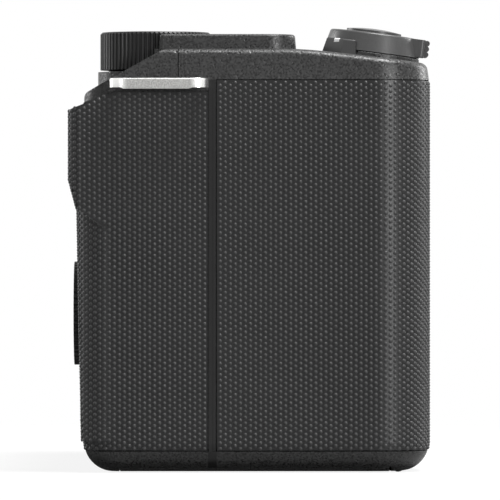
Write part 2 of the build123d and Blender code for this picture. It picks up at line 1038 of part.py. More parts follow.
def battery_box():
    """Tray round the battery, open at the bottom."""
    grow = bay_wall + bay_clearance
    low = battery_bottom - 0.1
    outer_y = (battery_y[0] - grow, battery_y[1] + grow)
    outer = rounded_block((bay_near, bay_far), outer_y, (low, bay_ceiling + bay_wall), battery_round + grow)
    inner_x = (battery_x[0] - bay_clearance, battery_x[1] + bay_clearance)
    inner_y = (battery_y[0] - bay_clearance, battery_y[1] + bay_clearance)
    inner = rounded_block(inner_x, inner_y, (low - 1, bay_ceiling), battery_round + bay_clearance)
    return outer - inner


door_x = (battery_x[0] - 0.3, battery_x[1] + 0.6)
door_y = (door_front, door_rear)
floor_top = foot_height + wall


def battery_door():
    """Hinged door in the base, flush with it, with a slot for its lock."""
    door = body_form(0, shoulder) & block(door_x, door_y, (0, floor_top))
    knuckle = bar(hinge_radius, (hinge_near, hinge_far), (hinge_y, hinge_z))
    web = block((hinge_near, hinge_far), (hinge_y, door_front + 0.1), (foot_height, hinge_z + 0.3))
    door += knuckle
    door += web
    door -= bar(pin_radius + running, (hinge_near - 1, hinge_far + 1), (hinge_y, hinge_z))
    slot_x = (lock_start - 0.2, lock_start + lock_length + lock_travel + 0.2)
    slot_y = (lock_y - lock_width / 2 - 0.2, lock_y + lock_width / 2 + 0.2)
    return door - block(slot_x, slot_y, (-1, floor_top + 1))


def battery_door_lock():
    """Slide in the door whose bolt moves over the floor of the base."""
    y = (lock_y - lock_width / 2, lock_y + lock_width / 2)
    slide = block((lock_start, lock_start + lock_length), y, (foot_height + 0.1, floor_top + 0.05))
    for ridge in range(4):
        x = lock_start + 2.0 + 1.2 * ridge
        slide -= block((x, x + 0.5), (y[0] - 1, y[1] + 1), (0, foot_height + 0.4))
    bolt_y = (lock_y - bolt_width / 2, lock_y + bolt_width / 2)
    bolt_x = (lock_start + 1, door_x[1] - 0.2)
    return slide + block(bolt_x, bolt_y, (floor_top + 0.05, floor_top + 0.05 + bolt_thick))


catch_x = (battery_x[1] - catch_hook, battery_x[1] - catch_hook + catch_length)
catch_low = floor_top + 0.2
catch_high = battery_bottom - 0.2


def battery_catch():
    """Small sprung slide that hooks under the battery."""
    y = (catch_y - catch_width / 2, catch_y + catch_width / 2)
    catch = block(catch_x, y, (catch_low, catch_high))
    edge = catch.edges().filter_by(Axis.Y).sort_by(lambda e: e.center().X + e.center().Z)[0]
    return chamfer(edge, 0.5)


# Base

def tripod_socket():
    """Threaded metal insert in the base, with a flange inside."""
    at = (lens_x, tripod_y)
    insert = disc(tripod_radius, (foot_height / 2, tripod_height), at)
    insert += disc(tripod_radius + 1.6, (floor_top, floor_top + 1.2), at)
    return insert - disc(tripod_bore, (-1, foot_height / 2 + tripod_depth), at)


def cover_screw_places():
    """The points (x, y) of the screws in the base."""
    return [(x, y) for y in (screw_front, screw_rear) for x in (screw_near, screw_far)]


def screw_bores(head, shank):
    """The base screws as plain heads and shanks."""
    seat = foot_height + screw_head_depth
    bores = Part()
    for at in cover_screw_places():
        bores += disc(head, (-1, seat), at)
        bores += disc(shank, (seat - 0.1, seat + screw_length), at)
    return bores


def cover_screws():
    """Four base screws with cross recesses."""
    seat = foot_height + screw_head_depth
    screws = Part()
    for at in cover_screw_places():
        screw = disc(screw_head, (foot_height + 0.15, seat), at)
        screw += disc(screw_shank, (seat, seat + screw_length), at)
        for size in ((2.0, 0.45), (0.45, 2.0)):
            x = (at[0] - size[0] / 2, at[0] + size[0] / 2)
            y = (at[1] - size[1] / 2, at[1] + size[1] / 2)
            screw -= block(x, y, (foot_height, foot_height + 0.6))
        screws += screw
    return screws


def screw_bosses(y, cover_wall):
    """Bosses that the base screws at depth y turn into, with ribs to the cover's inner wall."""
    z = (skirt_top, foot_height + screw_head_depth + screw_length + 0.6)
    rib_y = sorted((y, cover_wall))
    bosses = Part()
    for x in (screw_near, screw_far):
        bosses += disc(screw_boss, z, (x, y))
        bosses += block((x - screw_rib / 2, x + screw_rib / 2), rib_y, z)
    return bosses


def bottom_cover():
    """Base shell with the battery opening, the tripod ring and the catch's guides."""
    cover = body_form(0, shoulder) - body_form(wall, shoulder + 1)
    cover = cover & block((near - 5, far + 5), (-tall, tall), (0, skirt_top))
    cover += disc(tripod_ring, (0, floor_top), (lens_x, tripod_y))
    for at in cover_screw_places():
        cover += disc(screw_head + 0.8, (foot_height, skirt_top), at)
    for side in (-1, 1):
        inner = catch_y + side * (catch_width / 2 + 0.1)
        y = sorted((inner, inner + side * 0.9))
        x = (door_x[1] + 0.6, catch_x[1] + catch_travel)
        cover += block(x, y, (floor_top - 0.1, catch_high))
    opening_x = (door_x[0] - door_gap, door_x[1] + door_gap)
    opening_y = (door_front - door_swing_gap, door_rear + door_gap)
    cover -= block(opening_x, opening_y, (-1, skirt_top + 1))
    knuckle_x = (hinge_near - 0.2, hinge_far + 0.2)
    knuckle_y = (hinge_y - hinge_radius - 0.3, door_front)
    cover -= block(knuckle_x, knuckle_y, (-1, skirt_top - 0.6))
    cover -= bar(pin_radius, (hinge_near - pin_reach, hinge_far + pin_reach), (hinge_y, hinge_z))
    cover -= disc(tripod_radius, (-1, skirt_top), (lens_x, tripod_y))
    cover -= block((near - 1, near + parting_depth), (base_parting, base_parting + parting_width), (0, tall))
    return cover - screw_bores(screw_head + 0.1, screw_shank)


# Monitor

arm_near = monitor_far - monitor_arm_width
monitor_back = monitor_face - monitor_thick
monitor_axis = (monitor_far - monitor_thick / 2, monitor_face - monitor_thick / 2)
monitor_mid = (monitor_low + monitor_high) / 2


def monitor_frame():
    """Shell of the monitor with a pocket for its glass."""
    x = (monitor_near, arm_near - monitor_arm_gap)
    frame = block(x, (monitor_back, monitor_face), (monitor_low, monitor_high))
    frame = fillet(frame.edges().filter_by(Axis.Y), monitor_corner)
    frame = fillet(frame.faces().sort_by(Axis.Y)[-1].edges(), 0.5)
    frame -= glass_form(0)
    return frame - bar(tilt_shaft, (x[1] - tilt_shaft_length, x[1] + 1), (monitor_axis[1], monitor_mid))


def glass_form(setback):
    """The glass, or with no setback the pocket it lies in."""
    x = (monitor_near + glass_margin, arm_near - monitor_arm_gap - glass_margin)
    y = (monitor_face - glass_thick, monitor_face - setback)
    glass = block(x, y, (monitor_low + glass_margin, monitor_high - glass_margin))
    return fillet(glass.edges().filter_by(Axis.Y), monitor_corner - 1)


def monitor_panel():
    """Display glass."""
    return glass_form(glass_setback)


def monitor_arm():
    """Hinge bar that turns on its pin and carries the monitor on a shaft."""
    z = (monitor_low, monitor_high)
    arm = block((arm_near, monitor_axis[0]), (monitor_back, monitor_face), z)
    arm += disc(monitor_thick / 2, z, monitor_axis)
    arm -= disc(monitor_pin + running, (z[0] - 1, z[1] + 1), monitor_axis)
    shaft_end = arm_near - monitor_arm_gap - tilt_shaft_length
    return arm + bar(tilt_shaft, (shaft_end, arm_near), (monitor_axis[1], monitor_mid))


recess_floor = monitor_back - monitor_gap
recess_z = (monitor_low - monitor_gap, monitor_high + monitor_gap)
recess_near = monitor_near - monitor_gap


# Doors on the port side

side_axis = (far - side_door_thick / 2, side_door_front + side_door_thick / 2)


def side_door(low, high):
    """Flush door with a rounded hinge edge and a bore for its pin."""
    door = block((far - side_door_thick, far), (side_axis[1], side_door_rear), (low, high))
    door += disc(side_door_thick / 2, (low, high), side_axis)
    door -= disc(side_pin + 0.05, (low - 1, high + 1), side_axis)
    notch = disc(1.6, (low - 1, high + 1), (far + 1.0, side_door_rear))
    return door - (notch & block((0, tall), (0, tall), ((low + high) / 2 - 3, (low + high) / 2 + 3)))


def side_openings():
    """What the two doors take out of the rear cover."""
    cut = Part()
    for low, high in ((card_door_low, card_door_high), (terminal_door_low, terminal_door_high)):
        y = (side_door_front - side_door_gap, side_door_rear + side_door_gap)
        cut += block((far - wall - 1, far + 1), y, (low - side_door_gap, high + side_door_gap))
        cut += disc(side_pin, (low - side_pin_reach, high + side_pin_reach), side_axis)
    return cut


def hinge_pins():
    """Steel pins of the battery door, the side doors and the monitor."""
    pins = bar(pin_radius, (hinge_near - pin_reach, hinge_far + pin_reach), (hinge_y, hinge_z))
    for low, high in ((card_door_low, card_door_high), (terminal_door_low, terminal_door_high)):
        pins += disc(side_pin, (low - side_pin_reach, high + side_pin_reach), side_axis)
    return pins + monitor_pin_form()


def monitor_pin_form():
    """Pin of the monitor's hinge, held in the recess's two ends."""
    z = (recess_z[0] - monitor_pin_reach, recess_z[1] + monitor_pin_reach)
    return disc(monitor_pin, z, monitor_axis)


# Shutter tower

tower = Pos(tower_x, tower_y, deck_at(tower_y)) * Rot(tower_tilt, 0, 0)


def turned(radius, low, high):
    """A disc on the tower's axis, in the tower's own frame."""
    return Pos(0, 0, (low + high) / 2) * Cylinder(radius, high - low)


def ray(reach, angle):
    """The point (x, y) at a reach and an angle about the tower's axis."""
    turn = math.radians(angle)
    return (reach * math.cos(turn), reach * math.sin(turn))


def fan(outer, z, start, end):
    """A piece of a disc between two angles and between the pair z, in the tower's own frame."""
    middle = (start + end) / 2
    corners = [(0.0, 0.0)] + [ray(2 * outer, angle) for angle in (start, middle, end)]
    face = make_face(Polyline(*corners, close=True))
    return turned(outer, *z) & (Pos(0, 0, z[0]) * extrude(face, z[1] - z[0]))


def zoom_cone(grow, low, high):
    """The zoom lever's tapered ring between two heights, grown by a distance."""
    narrowing = (zoom_radius - zoom_top_radius) / (zoom_top - zoom_low)
    wide, slim = [zoom_radius - (z - zoom_low) * narrowing + grow for z in (low, high)]
    return Pos(0, 0, (low + high) / 2) * Cone(wide, slim, high - low)


sleeve_bore = shutter_radius + shutter_clearance
lever_bore = sleeve_radius + running


def shutter_tower():
    """Collar and sleeve that carry the power lever, the zoom lever and the shutter button."""
    collar = turned(collar_radius, -collar_depth, collar_top)
    collar = fillet(collar.edges().sort_by(Axis.Z)[-1], collar_edge)
    sweep = (lever_web_angle - lever_turn - 2, lever_end_angle + 2)
    collar -= fan(collar_radius + 1, (collar_rest, collar_top + 1), *sweep)
    collar -= turned(lever_ring + lever_gap, -lever_depth - lever_gap, collar_top + 1)
    collar += turned(sleeve_radius, -collar_depth, sleeve_top)
    collar -= turned(sleeve_bore, shutter_low - shutter_travel - 0.1, sleeve_top + 1)
    return tower * collar


def power_lever():
    """Ring round the sleeve with a faceted tab at the rear of the grip."""
    plan = outline(
        (*ray(lever_web_reach, lever_web_angle), 0),
        (*ray(lever_reach, lever_far_angle), 0),
        (*ray(lever_reach, lever_corner_angle), lever_corner_round),
        (*ray(lever_end_reach, lever_end_angle), 0),
        (*ray(lever_web_reach, lever_end_angle), 0),
    )
    tab = extrude(Pos(0, 0, lever_low) * plan, lever_high - lever_low, taper=lever_draft)
    tab = fillet(tab.faces().sort_by(Axis.Z)[-1].edges(), lever_edge)
    tab -= turned(collar_radius + lever_gap, -5, collar_rest + running)
    tab -= zoom_cone(lever_gap, lever_top, zoom_top + 1)
    lever = turned(lever_ring, -lever_depth, lever_top) + tab
    return tower * (lever - turned(lever_bore, -5, 10))


def zoom_lever():
    """Tapered ring with a ridged finger tab at the front."""
    ring = zoom_cone(0, zoom_low, zoom_top)
    rim = ring.edges().filter_by(GeomType.CIRCLE).sort_by(Axis.Z)[-1]
    ring = fillet(rim, zoom_edge)
    half = zoom_tab_width / 2
    tab_low = zoom_low + zoom_tab_lift
    tab = block((-half, half), (-zoom_tab_reach, 0), (tab_low, zoom_tab_top))
    tab = fillet(tab.edges().filter_by(Axis.Z).group_by(Axis.Y)[0], zoom_tab_round)
    ring += tab
    middle = (tab_low + zoom_tab_top) / 2
    ridge_x = (ridge_inset - half, half - ridge_inset)
    for place in range(ridge_count):
        z = middle + (place - (ridge_count - 1) / 2) * ridge_pitch
        ring += bar(ridge_radius, ridge_x, (-zoom_tab_reach - ridge_out, z))
    ring -= turned(lever_bore, -5, zoom_top - zoom_lip)
    return tower * (ring - turned(sleeve_bore, -5, 10))


def shutter_button():
    """Shutter button with a shallow dome."""
    stem = turned(shutter_radius, shutter_low, shutter_top - shutter_dome)
    crown = (shutter_radius ** 2 + shutter_dome ** 2) / (2 * shutter_dome)
    dome = Pos(0, 0, shutter_top - crown) * Sphere(crown)
    cap = turned(shutter_radius, shutter_low, shutter_top) & dome
    return tower * (stem + cap)


# Dial and buttons

def control_dial():
    """Ribbed dial on the ledge, bored for its shaft."""
    at = (dial_x, dial_y)
    dial = Pos(*at, dial_low) * ribbed_disc(dial_radius, rib_depth, dial_ribs, dial_top - dial_low)
    bevelled = disc(dial_radius, (dial_low, dial_top), at)
    dial = dial & chamfer(bevelled.edges().sort_by(Axis.Z)[-1], dial_bevel)
    return dial - disc(dial_shaft + running, (dial_low - 1, dial_top - dial_cap), at)


def dial_encoder():
    """Encoder under the ledge with the shaft that the dial turns on."""
    half = encoder_width / 2
    low = shoulder - encoder_height
    body = block((dial_x - half, dial_x + half), (dial_y - half, dial_y + half), (low, shoulder))
    return body + disc(dial_shaft, (shoulder, dial_top - dial_cap - shaft_play), (dial_x, dial_y))


def flange_height(radius, y):
    """Top of a deck button's flange, which clears the underside of the deck."""
    return deck_at(y - radius - flange_width) - top_wall - flange_play


def surface_at(x, y):
    """Height of the top cover at (x, y), on the island or on the deck."""
    on_island = island_near < x < island_far and island_front < y < island_rear
    return deck + island_height if on_island else deck_at(y)


def deck_button(radius, x, y):
    """Button flush with the top cover, with a flange below it."""
    top = surface_at(x, y) - button_sink
    flange_top = flange_height(radius, y)
    button = disc(radius, (flange_top - flange_thick, top), (x, y))
    rim = button.edges().filter_by(GeomType.CIRCLE).sort_by(Axis.Z)[-1]
    button = fillet(rim, deck_button_edge)
    return button + disc(radius + flange_width, (flange_top - flange_thick, flange_top), (x, y))


deck_buttons = (
    ("movie_button", movie_radius, movie_x, movie_y),
    ("mode_button", mode_radius, mode_x, mode_y),
    ("defocus_button", defocus_radius, defocus_x, defocus_y),
)

board_top = deck_at(movie_y) - top_wall - board_drop
board_rear = dial_y - dial_radius - ledge_margin - board_setback


def top_board():
    """Small board under the deck that carries the switches of its buttons."""
    x = (tower_x - movie_radius - 2, movie_x + movie_radius + 2)
    y = (tower_y + collar_radius + board_lead, board_rear)
    board = block(x, y, (board_top - top_board_thick, board_top))
    for _, radius, x, y in deck_buttons:
        plunger_top = flange_height(radius, y) - flange_thick - deck_button_travel - plunger_play
        board += disc(plunger_radius, (board_top, plunger_top), (x, y))
    return board


board_post_x = (mode_x + defocus_x) / 2
board_posts = ((board_post_x, defocus_y - board_post_front), (board_post_x, defocus_y + board_post_rear))


def control_wheel():
    """Toothed wheel on the rear."""
    depth = wheel_face - wheel_low
    wheel = ribbed_disc(wheel_radius, tooth_depth, wheel_teeth, depth)
    wheel -= Pos(0, 0, depth / 2) * Cylinder(wheel_bore, depth + 2)
    return Pos(wheel_x, wheel_face, wheel_z) * Rot(90, 0, 0) * wheel


cup_floor = wheel_low - 0.3
hub_back = cup_floor - cup_wall


def wheel_hub():
    """Fixed hub behind the wheel with the sleeve that the wheel turns on."""
    at = (wheel_x, wheel_z)
    hub = plug(hub_flange, (hub_back - 1.3, hub_back), at) + plug(hub_radius, (hub_back, hub_face), at)
    return hub - plug(centre_radius + 0.08, (hub_back, hub_face + 1), at)


def centre_button():
    """Round button in the middle of the wheel."""
    at = (wheel_x, wheel_z)
    button = plug(centre_radius, (hub_back + centre_travel + 0.1, centre_face), at)
    return fillet(button.edges().group_by(Axis.Y)[-1], 0.4)


def rear_button(x, z):
    """Round button on the rear, with a flange behind the cover."""
    inner = rear_face - wall
    button = plug(rear_button_radius, (inner - 0.1, rear_face + rear_button_proud), (x, z))
    button = fillet(button.edges().group_by(Axis.Y)[-1], 0.25)
    return button + plug(rear_button_radius + flange_width, (inner - 0.1 - flange_thick, inner - 0.1), (x, z))


rear_buttons = (
    ("menu_button", menu_x, menu_z),
    ("fn_button", fn_x, fn_z),
    ("playback_button", playback_x, low_button_z),
    ("delete_button", delete_x, low_button_z),
)


# Shoe, microphones, lugs and lamp

shoe_y = (plateau_rear - shoe_length, plateau_rear)
shoe_half = shoe_inside / 2 + shoe_side


def shoe_rails():
    """Bent metal shoe with two lips."""
    low = shoe_floor - shoe_plate
    lip_low = shoe_floor + shoe_slot
    shoe = block((shoe_x - shoe_half, shoe_x + shoe_half), shoe_y, (low, lip_low + shoe_lip))
    inside = shoe_inside / 2
    shoe -= block((shoe_x - inside, shoe_x + inside), (shoe_y[0] + shoe_side, tall), (shoe_floor, lip_low))
    gap = shoe_opening / 2
    opening = (shoe_y[0] + shoe_side + shoe_stop, tall)
    return shoe - block((shoe_x - gap, shoe_x + gap), opening, (shoe_floor, tall))


def shoe_contacts():
    """Contact strip at the front of the shoe and its centre contact."""
    front = shoe_y[0] + shoe_side
    x = (shoe_x - shoe_strip_half, shoe_x + shoe_strip_half)
    strip = block(x, (front, front + shoe_strip_depth), (shoe_floor, shoe_floor + shoe_strip_height))
    sync_at = (shoe_x, shoe_y[0] + sync_setback)
    return strip + disc(sync_radius, (shoe_floor, shoe_floor + sync_proud), sync_at)


grille_x = (grille_near, grille_near + grille_width)
grille_y = (grille_front, grille_front + grille_length)


def mic_grille():
    """Perforated plate over the microphones."""
    z = (plateau_top - grille_thick, plateau_top)
    plate = rounded_block(grille_x, grille_y, z, grille_corner)
    columns = int(grille_width / grille_pitch) - 1
    rows = int(grille_length / grille_pitch) - 1
    middle = Pos((grille_x[0] + grille_x[1]) / 2, (grille_y[0] + grille_y[1]) / 2, z[0])
    holes = Sketch() + [
        place * Circle(grille_hole) for place in GridLocations(grille_pitch, grille_pitch, columns, rows)
    ]
    return plate - extrude(middle * holes, grille_thick)


def capsule_places():
    """The points (x, y) of the three microphone capsules."""
    middle = ((grille_x[0] + grille_x[1]) / 2, (grille_y[0] + grille_y[1]) / 2)
    return [(middle[0], middle[1] + capsule_pitch * step) for step in (-1, 0, 1)]


def mic_capsules():
    """Three microphone capsules in pockets under the grille."""
    high = plateau_top - grille_thick
    capsules = Part()
    for at in capsule_places():
        capsules += disc(capsule_radius, (high - capsule_height, high - capsule_drop), at)
    return capsules


def strap_lug():
    """Strap loop on the grip side, with two tabs in the cover."""
    x = (-lug_reach, near)
    y = (lug_front, lug_rear)
    z = (lug_low, lug_high)
    loop = outline(
        (x[0], y[0], lug_round),
        (x[1], y[0], 0),
        (x[1], y[1], 0),
        (x[0], y[1], lug_round),
    )
    loop = extrude(Pos(0, 0, z[0]) * loop, z[1] - z[0])
    rim = [e for e in loop.edges().group_by(Axis.Z)[-1] if e.bounding_box().max.X < x[1] + 0.1]
    loop = fillet([e for e in rim if e.length < y[1] - y[0] - 0.1], lug_edge)
    slot_x = (x[0] + lug_bar, x[1] - lug_inner)
    slot_y = (y[0] + lug_end, y[1] - lug_end)
    loop -= rounded_block(slot_x, slot_y, (z[0] - over, z[1] + over), lug_slot_round)
    bar_y = (y[0] + lug_bar_front, y[1] - lug_bar_rear)
    loop += side_prism(
        (x[0], x[0] + lug_bar),
        (bar_y[0], z[0] + lug_bar_overlap, 0),
        (bar_y[0] + lug_bar_slope, lug_bar_low, 0),
        (bar_y[1] - lug_bar_slope, lug_bar_low, 0),
        (bar_y[1], z[0] + lug_bar_overlap, 0),
    )
    for start in (y[0] + lug_tab_inset, y[1] - lug_tab_inset - lug_tab):
        loop += block((near - 0.1, near + wall + lug_tab_reach), (start, start + lug_tab), z)
    return loop


def strap_lugs():
    """The strap loops of both sides."""
    loop = strap_lug()
    return loop + mirror(loop, Plane.YZ)


def tally_lamp():
    """Small lamp window in the front."""
    lamp = plug(lamp_radius, (-panel_face - 0.15, -panel_face + wall), (lamp_x, lamp_z))
    return fillet(lamp.edges().group_by(Axis.Y)[0], 0.14)


# Covers

def front_cover():
    """Front shell with the grip, the mount opening and the release pod."""
    cover = body_form(0, shoulder) - body_form(wall, shoulder + 1)
    cover += plug(pod_radius, (pod_face, -panel_face + 0.1), release_at)
    cover = cover & block((near - 5, far + 5), (-tall, seam), (skirt_top, shoulder))
    cover += screw_bosses(screw_front, -panel_face + wall / 2)
    bore = mount_radius + mount_gap + bezel_skirt
    cover -= plug(bore, (-tall, 0), (lens_x, lens_z))
    cover -= plug(release_button_radius + 0.1, (-tall, -panel_face + wall + 1), release_at)
    cover -= plug(lamp_radius, (-tall, 0), (lamp_x, lamp_z))
    cover -= screw_bores(screw_head, screw_shank)
    return cover - grip_rubber_front()


def monitor_housing():
    """Walls behind and round the monitor's recess, before it is cut."""
    walls = block((recess_near - wall, far), (recess_floor - wall, rear_face), (skirt_top, shoulder))
    return walls & body_form(0, shoulder)


def rear_cover():
    """Rear shell with the monitor's recess, the thumb rest and the ramp."""
    under_rubber = rubber_proud - rubber_thick
    cover = body_form(0, shoulder)
    cover += thumb_form(under_rubber, slope=thumb_slope_width) & rounded_base(-under_rubber)
    cover -= body_form(wall, shoulder + 1)
    cover = cover & block((near - 5, far + 5), (seam, tall), (skirt_top, shoulder))
    cover += monitor_housing()
    cover += rear_rim((ramp_height(rear_face) - wall, shoulder)) & body_form(0, shoulder)
    cover += plug(wheel_radius + wheel_gap + 1.2, (hub_back, rear_face), (wheel_x, wheel_z))
    cover += upper_form() & block((near - 5, strip_edge), (top_seam, tall), (shoulder, tall))
    cover += screw_bosses(screw_rear, recess_floor - wall / 2)
    cover -= ramp_cut()
    cover -= block((recess_near, far + 5), (recess_floor, tall), recess_z)
    cover -= monitor_pin_form()
    cover -= plug(wheel_radius + wheel_gap, (cup_floor, tall), (wheel_x, wheel_z))
    cover -= plug(hub_radius, (hub_back - 1, tall), (wheel_x, wheel_z))
    for _, x, z in rear_buttons:
        cover -= plug(rear_button_radius + button_clearance, (rear_face - wall - 2, tall), (x, z))
    cover -= side_openings()
    cover -= screw_bores(screw_head, screw_shank)
    cover -= grip_rubber_rear()
    return cover - strap_lugs()


def plateau():
    """Raised block of the top cover."""
    x = (plateau_near, plateau_far)
    y = (plateau_front, plateau_rear)
    solid = rounded_block(x, y, (deck - top_wall, plateau_top), plateau_corner)
    return fillet(solid.faces().sort_by(Axis.Z)[-1].edges(), plateau_round)


def island():
    """Raised and drafted block that the dial is let into."""
    plan = outline(
        (island_near, island_front, island_front_corner),
        (island_far, island_front, island_far_corner),
        (island_far, island_rear, island_far_corner),
        (island_near, island_rear, island_rear_corner),
    )
    low = deck - top_wall
    solid = extrude(Pos(0, 0, low) * plan, island_height + top_wall, taper=island_draft)
    return fillet(solid.faces().sort_by(Axis.Z)[-1].edges(), island_round)


def top_cover():
    """Top shell with the plateau, the dial's ledge and the openings for the controls."""
    cover = upper_form()
    hollow = extrude(Pos(0, 0, shoulder - 1) * body_plan(-wall), deck - shoulder + 2)
    cover -= hollow & deck_profile(top_wall, shoulder - 5)
    cover += plateau() + island()
    pocket = disc(dial_radius + dial_gap, (ledge_height, tall), (dial_x, dial_y))
    pocket += block((strip_edge, notch_edge), (dial_y, tall), (ledge_height, tall))
    ledge_x = (near + wall, notch_edge + top_wall)
    ledge_y = (dial_y - dial_radius - ledge_margin, ledge_rear)
    ledge = block(ledge_x, ledge_y, (shoulder, deck - top_wall))
    cover += ledge
    cover += rear_rim((shoulder, deck - top_wall)) & upper_form()
    cover -= pocket
    cover -= block((near - 5, strip_edge), (top_seam - seam_gap, tall), (shoulder - 1, tall))
    shoe_wide = (shoe_x - shoe_half, shoe_x + shoe_half)
    bed_x = (shoe_x - shoe_half - shoe_bed_side, shoe_x + shoe_half + shoe_bed_side)
    bed_y = (shoe_y[0] - shoe_bed_side, rear_face - wall)
    cover += block(bed_x, bed_y, (shoe_floor - shoe_bed, deck - top_wall))
    cover -= ramp_cut()
    cover -= block(shoe_wide, shoe_y, (shoe_floor - shoe_plate, tall))
    cover -= block(shoe_wide, (plateau_rear, plateau_rear + shoe_run_out), (shoe_floor, tall))
    cover -= rounded_block(grille_x, grille_y, (plateau_top - grille_thick, tall), grille_corner)
    for at in capsule_places():
        cover -= disc(capsule_radius, (plateau_top - grille_thick - capsule_height, tall), at)
    for at in board_posts:
        cover += disc(board_post_radius, (board_top, deck - top_wall + 0.1), at)
    for _, radius, x, y in deck_buttons:
        cover -= disc(radius + button_clearance, (shoulder, tall), (x, y))
    cover -= tower * turned(collar_radius, -6, 10)
    cover -= disc(dial_shaft + 0.1, (shoulder - 1, tall), (dial_x, dial_y))
    return cover - strap_lugs()


pieces = {
    "front_cover": front_cover,
    "rear_cover": rear_cover,
    "top_cover": top_cover,
    "bottom_cover": bottom_cover,
    "grip_rubber_front": grip_rubber_front,
    "grip_rubber_rear": grip_rubber_rear,
    "cover_screws": cover_screws,
    "mount_ring": mount_ring,
    "mount_screws": mount_screws,
    "mount_bezel": mount_bezel,
    "lens_contact_block": lens_contact_block,
    "lens_contact_pins": lens_contact_pins,
    "lens_release_button": lens_release_button,
    "lens_lock_pin": lens_lock_pin,
    "light_baffle": light_baffle,
    "sensor_window": sensor_window,
    "image_sensor": image_sensor,
    "sensor_frame": sensor_frame,
    "main_chassis": main_chassis,
    "main_board": main_board,
    "heat_spreader": heat_spreader,
    "battery": battery,
    "battery_box": battery_box,
    "battery_contacts": battery_contacts,
    "battery_door": battery_door,
    "battery_door_lock": battery_door_lock,
    "battery_catch": battery_catch,
    "tripod_socket": tripod_socket,
    "card_slot": card_slot,
    "memory_card": memory_card,
    "side_sockets": side_sockets,
    "hinge_pins": hinge_pins,
    "shoe_rails": shoe_rails,
    "shoe_contacts": shoe_contacts,
    "mic_grille": mic_grille,
    "mic_capsules": mic_capsules,
    "control_dial": control_dial,
    "dial_encoder": dial_encoder,
    "power_lever": power_lever,
    "zoom_lever": zoom_lever,
    "shutter_button": shutter_button,
    "shutter_tower": shutter_tower,
    "top_board": top_board,
    "control_wheel": control_wheel,
    "wheel_hub": wheel_hub,
    "centre_button": centre_button,
    "monitor_frame": monitor_frame,
    "monitor_panel": monitor_panel,
    "monitor_arm": monitor_arm,
    "strap_lugs": strap_lugs,
    "tally_lamp": tally_lamp,
}

for name, make in pieces.items():
    export_step(make(), f"parts/{name}.step")
export_step(side_door(card_door_low, card_door_high), "parts/card_door.step")
export_step(side_door(terminal_door_low, terminal_door_high), "parts/terminal_door.step")
for name, radius, x, y in deck_buttons:
    export_step(deck_button(radius, x, y), f"parts/{name}.step")
for name, x, z in rear_buttons:
    export_step(rear_button(x, z), f"parts/{name}.step")
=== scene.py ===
"""Looks for a compact camera body without a lens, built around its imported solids."""

import json
import logging
import math
from abc import ABC, abstractmethod
from dataclasses import dataclass, replace
from enum import Enum
from functools import partialmethod, reduce
from typing import Any, Optional, Sequence, Union

import bmesh
import bpy
import numpy as np
from mathutils import Matrix, Vector
from mathutils.bvhtree import BVHTree

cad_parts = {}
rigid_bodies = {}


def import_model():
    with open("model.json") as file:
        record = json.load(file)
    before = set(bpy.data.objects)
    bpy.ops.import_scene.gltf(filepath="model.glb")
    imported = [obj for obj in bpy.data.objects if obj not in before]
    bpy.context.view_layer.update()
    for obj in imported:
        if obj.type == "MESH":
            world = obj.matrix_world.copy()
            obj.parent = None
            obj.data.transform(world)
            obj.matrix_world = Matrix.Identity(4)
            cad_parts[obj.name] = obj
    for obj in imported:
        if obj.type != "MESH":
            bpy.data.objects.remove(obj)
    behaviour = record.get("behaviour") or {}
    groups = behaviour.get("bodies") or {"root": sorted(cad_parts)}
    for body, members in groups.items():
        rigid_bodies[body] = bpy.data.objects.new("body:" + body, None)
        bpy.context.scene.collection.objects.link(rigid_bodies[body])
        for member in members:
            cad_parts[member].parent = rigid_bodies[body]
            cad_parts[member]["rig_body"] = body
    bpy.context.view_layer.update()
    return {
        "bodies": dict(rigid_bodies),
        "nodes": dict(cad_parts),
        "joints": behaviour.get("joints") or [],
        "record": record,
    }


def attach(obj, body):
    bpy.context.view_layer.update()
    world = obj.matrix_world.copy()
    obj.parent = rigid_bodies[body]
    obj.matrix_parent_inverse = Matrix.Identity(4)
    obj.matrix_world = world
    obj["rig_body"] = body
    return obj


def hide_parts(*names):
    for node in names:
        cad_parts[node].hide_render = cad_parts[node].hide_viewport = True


log = logging.getLogger("camera_body")

MM = 0.001
LENS_AXIS = (7.0, 31.6)

Array = np.ndarray
Material = bpy.types.Material
Pair = tuple[float, float]
Triple = tuple[float, float, float]
Colour = Triple
Value = Union[float, int, Colour, "Wire"]
Inputs = dict[str, Value]

BLACK: Colour = (0.0, 0.0, 0.0)
WHITE: Colour = (1.0, 1.0, 1.0)
EVEN: Triple = (1.0, 1.0, 1.0)


# Shader maths


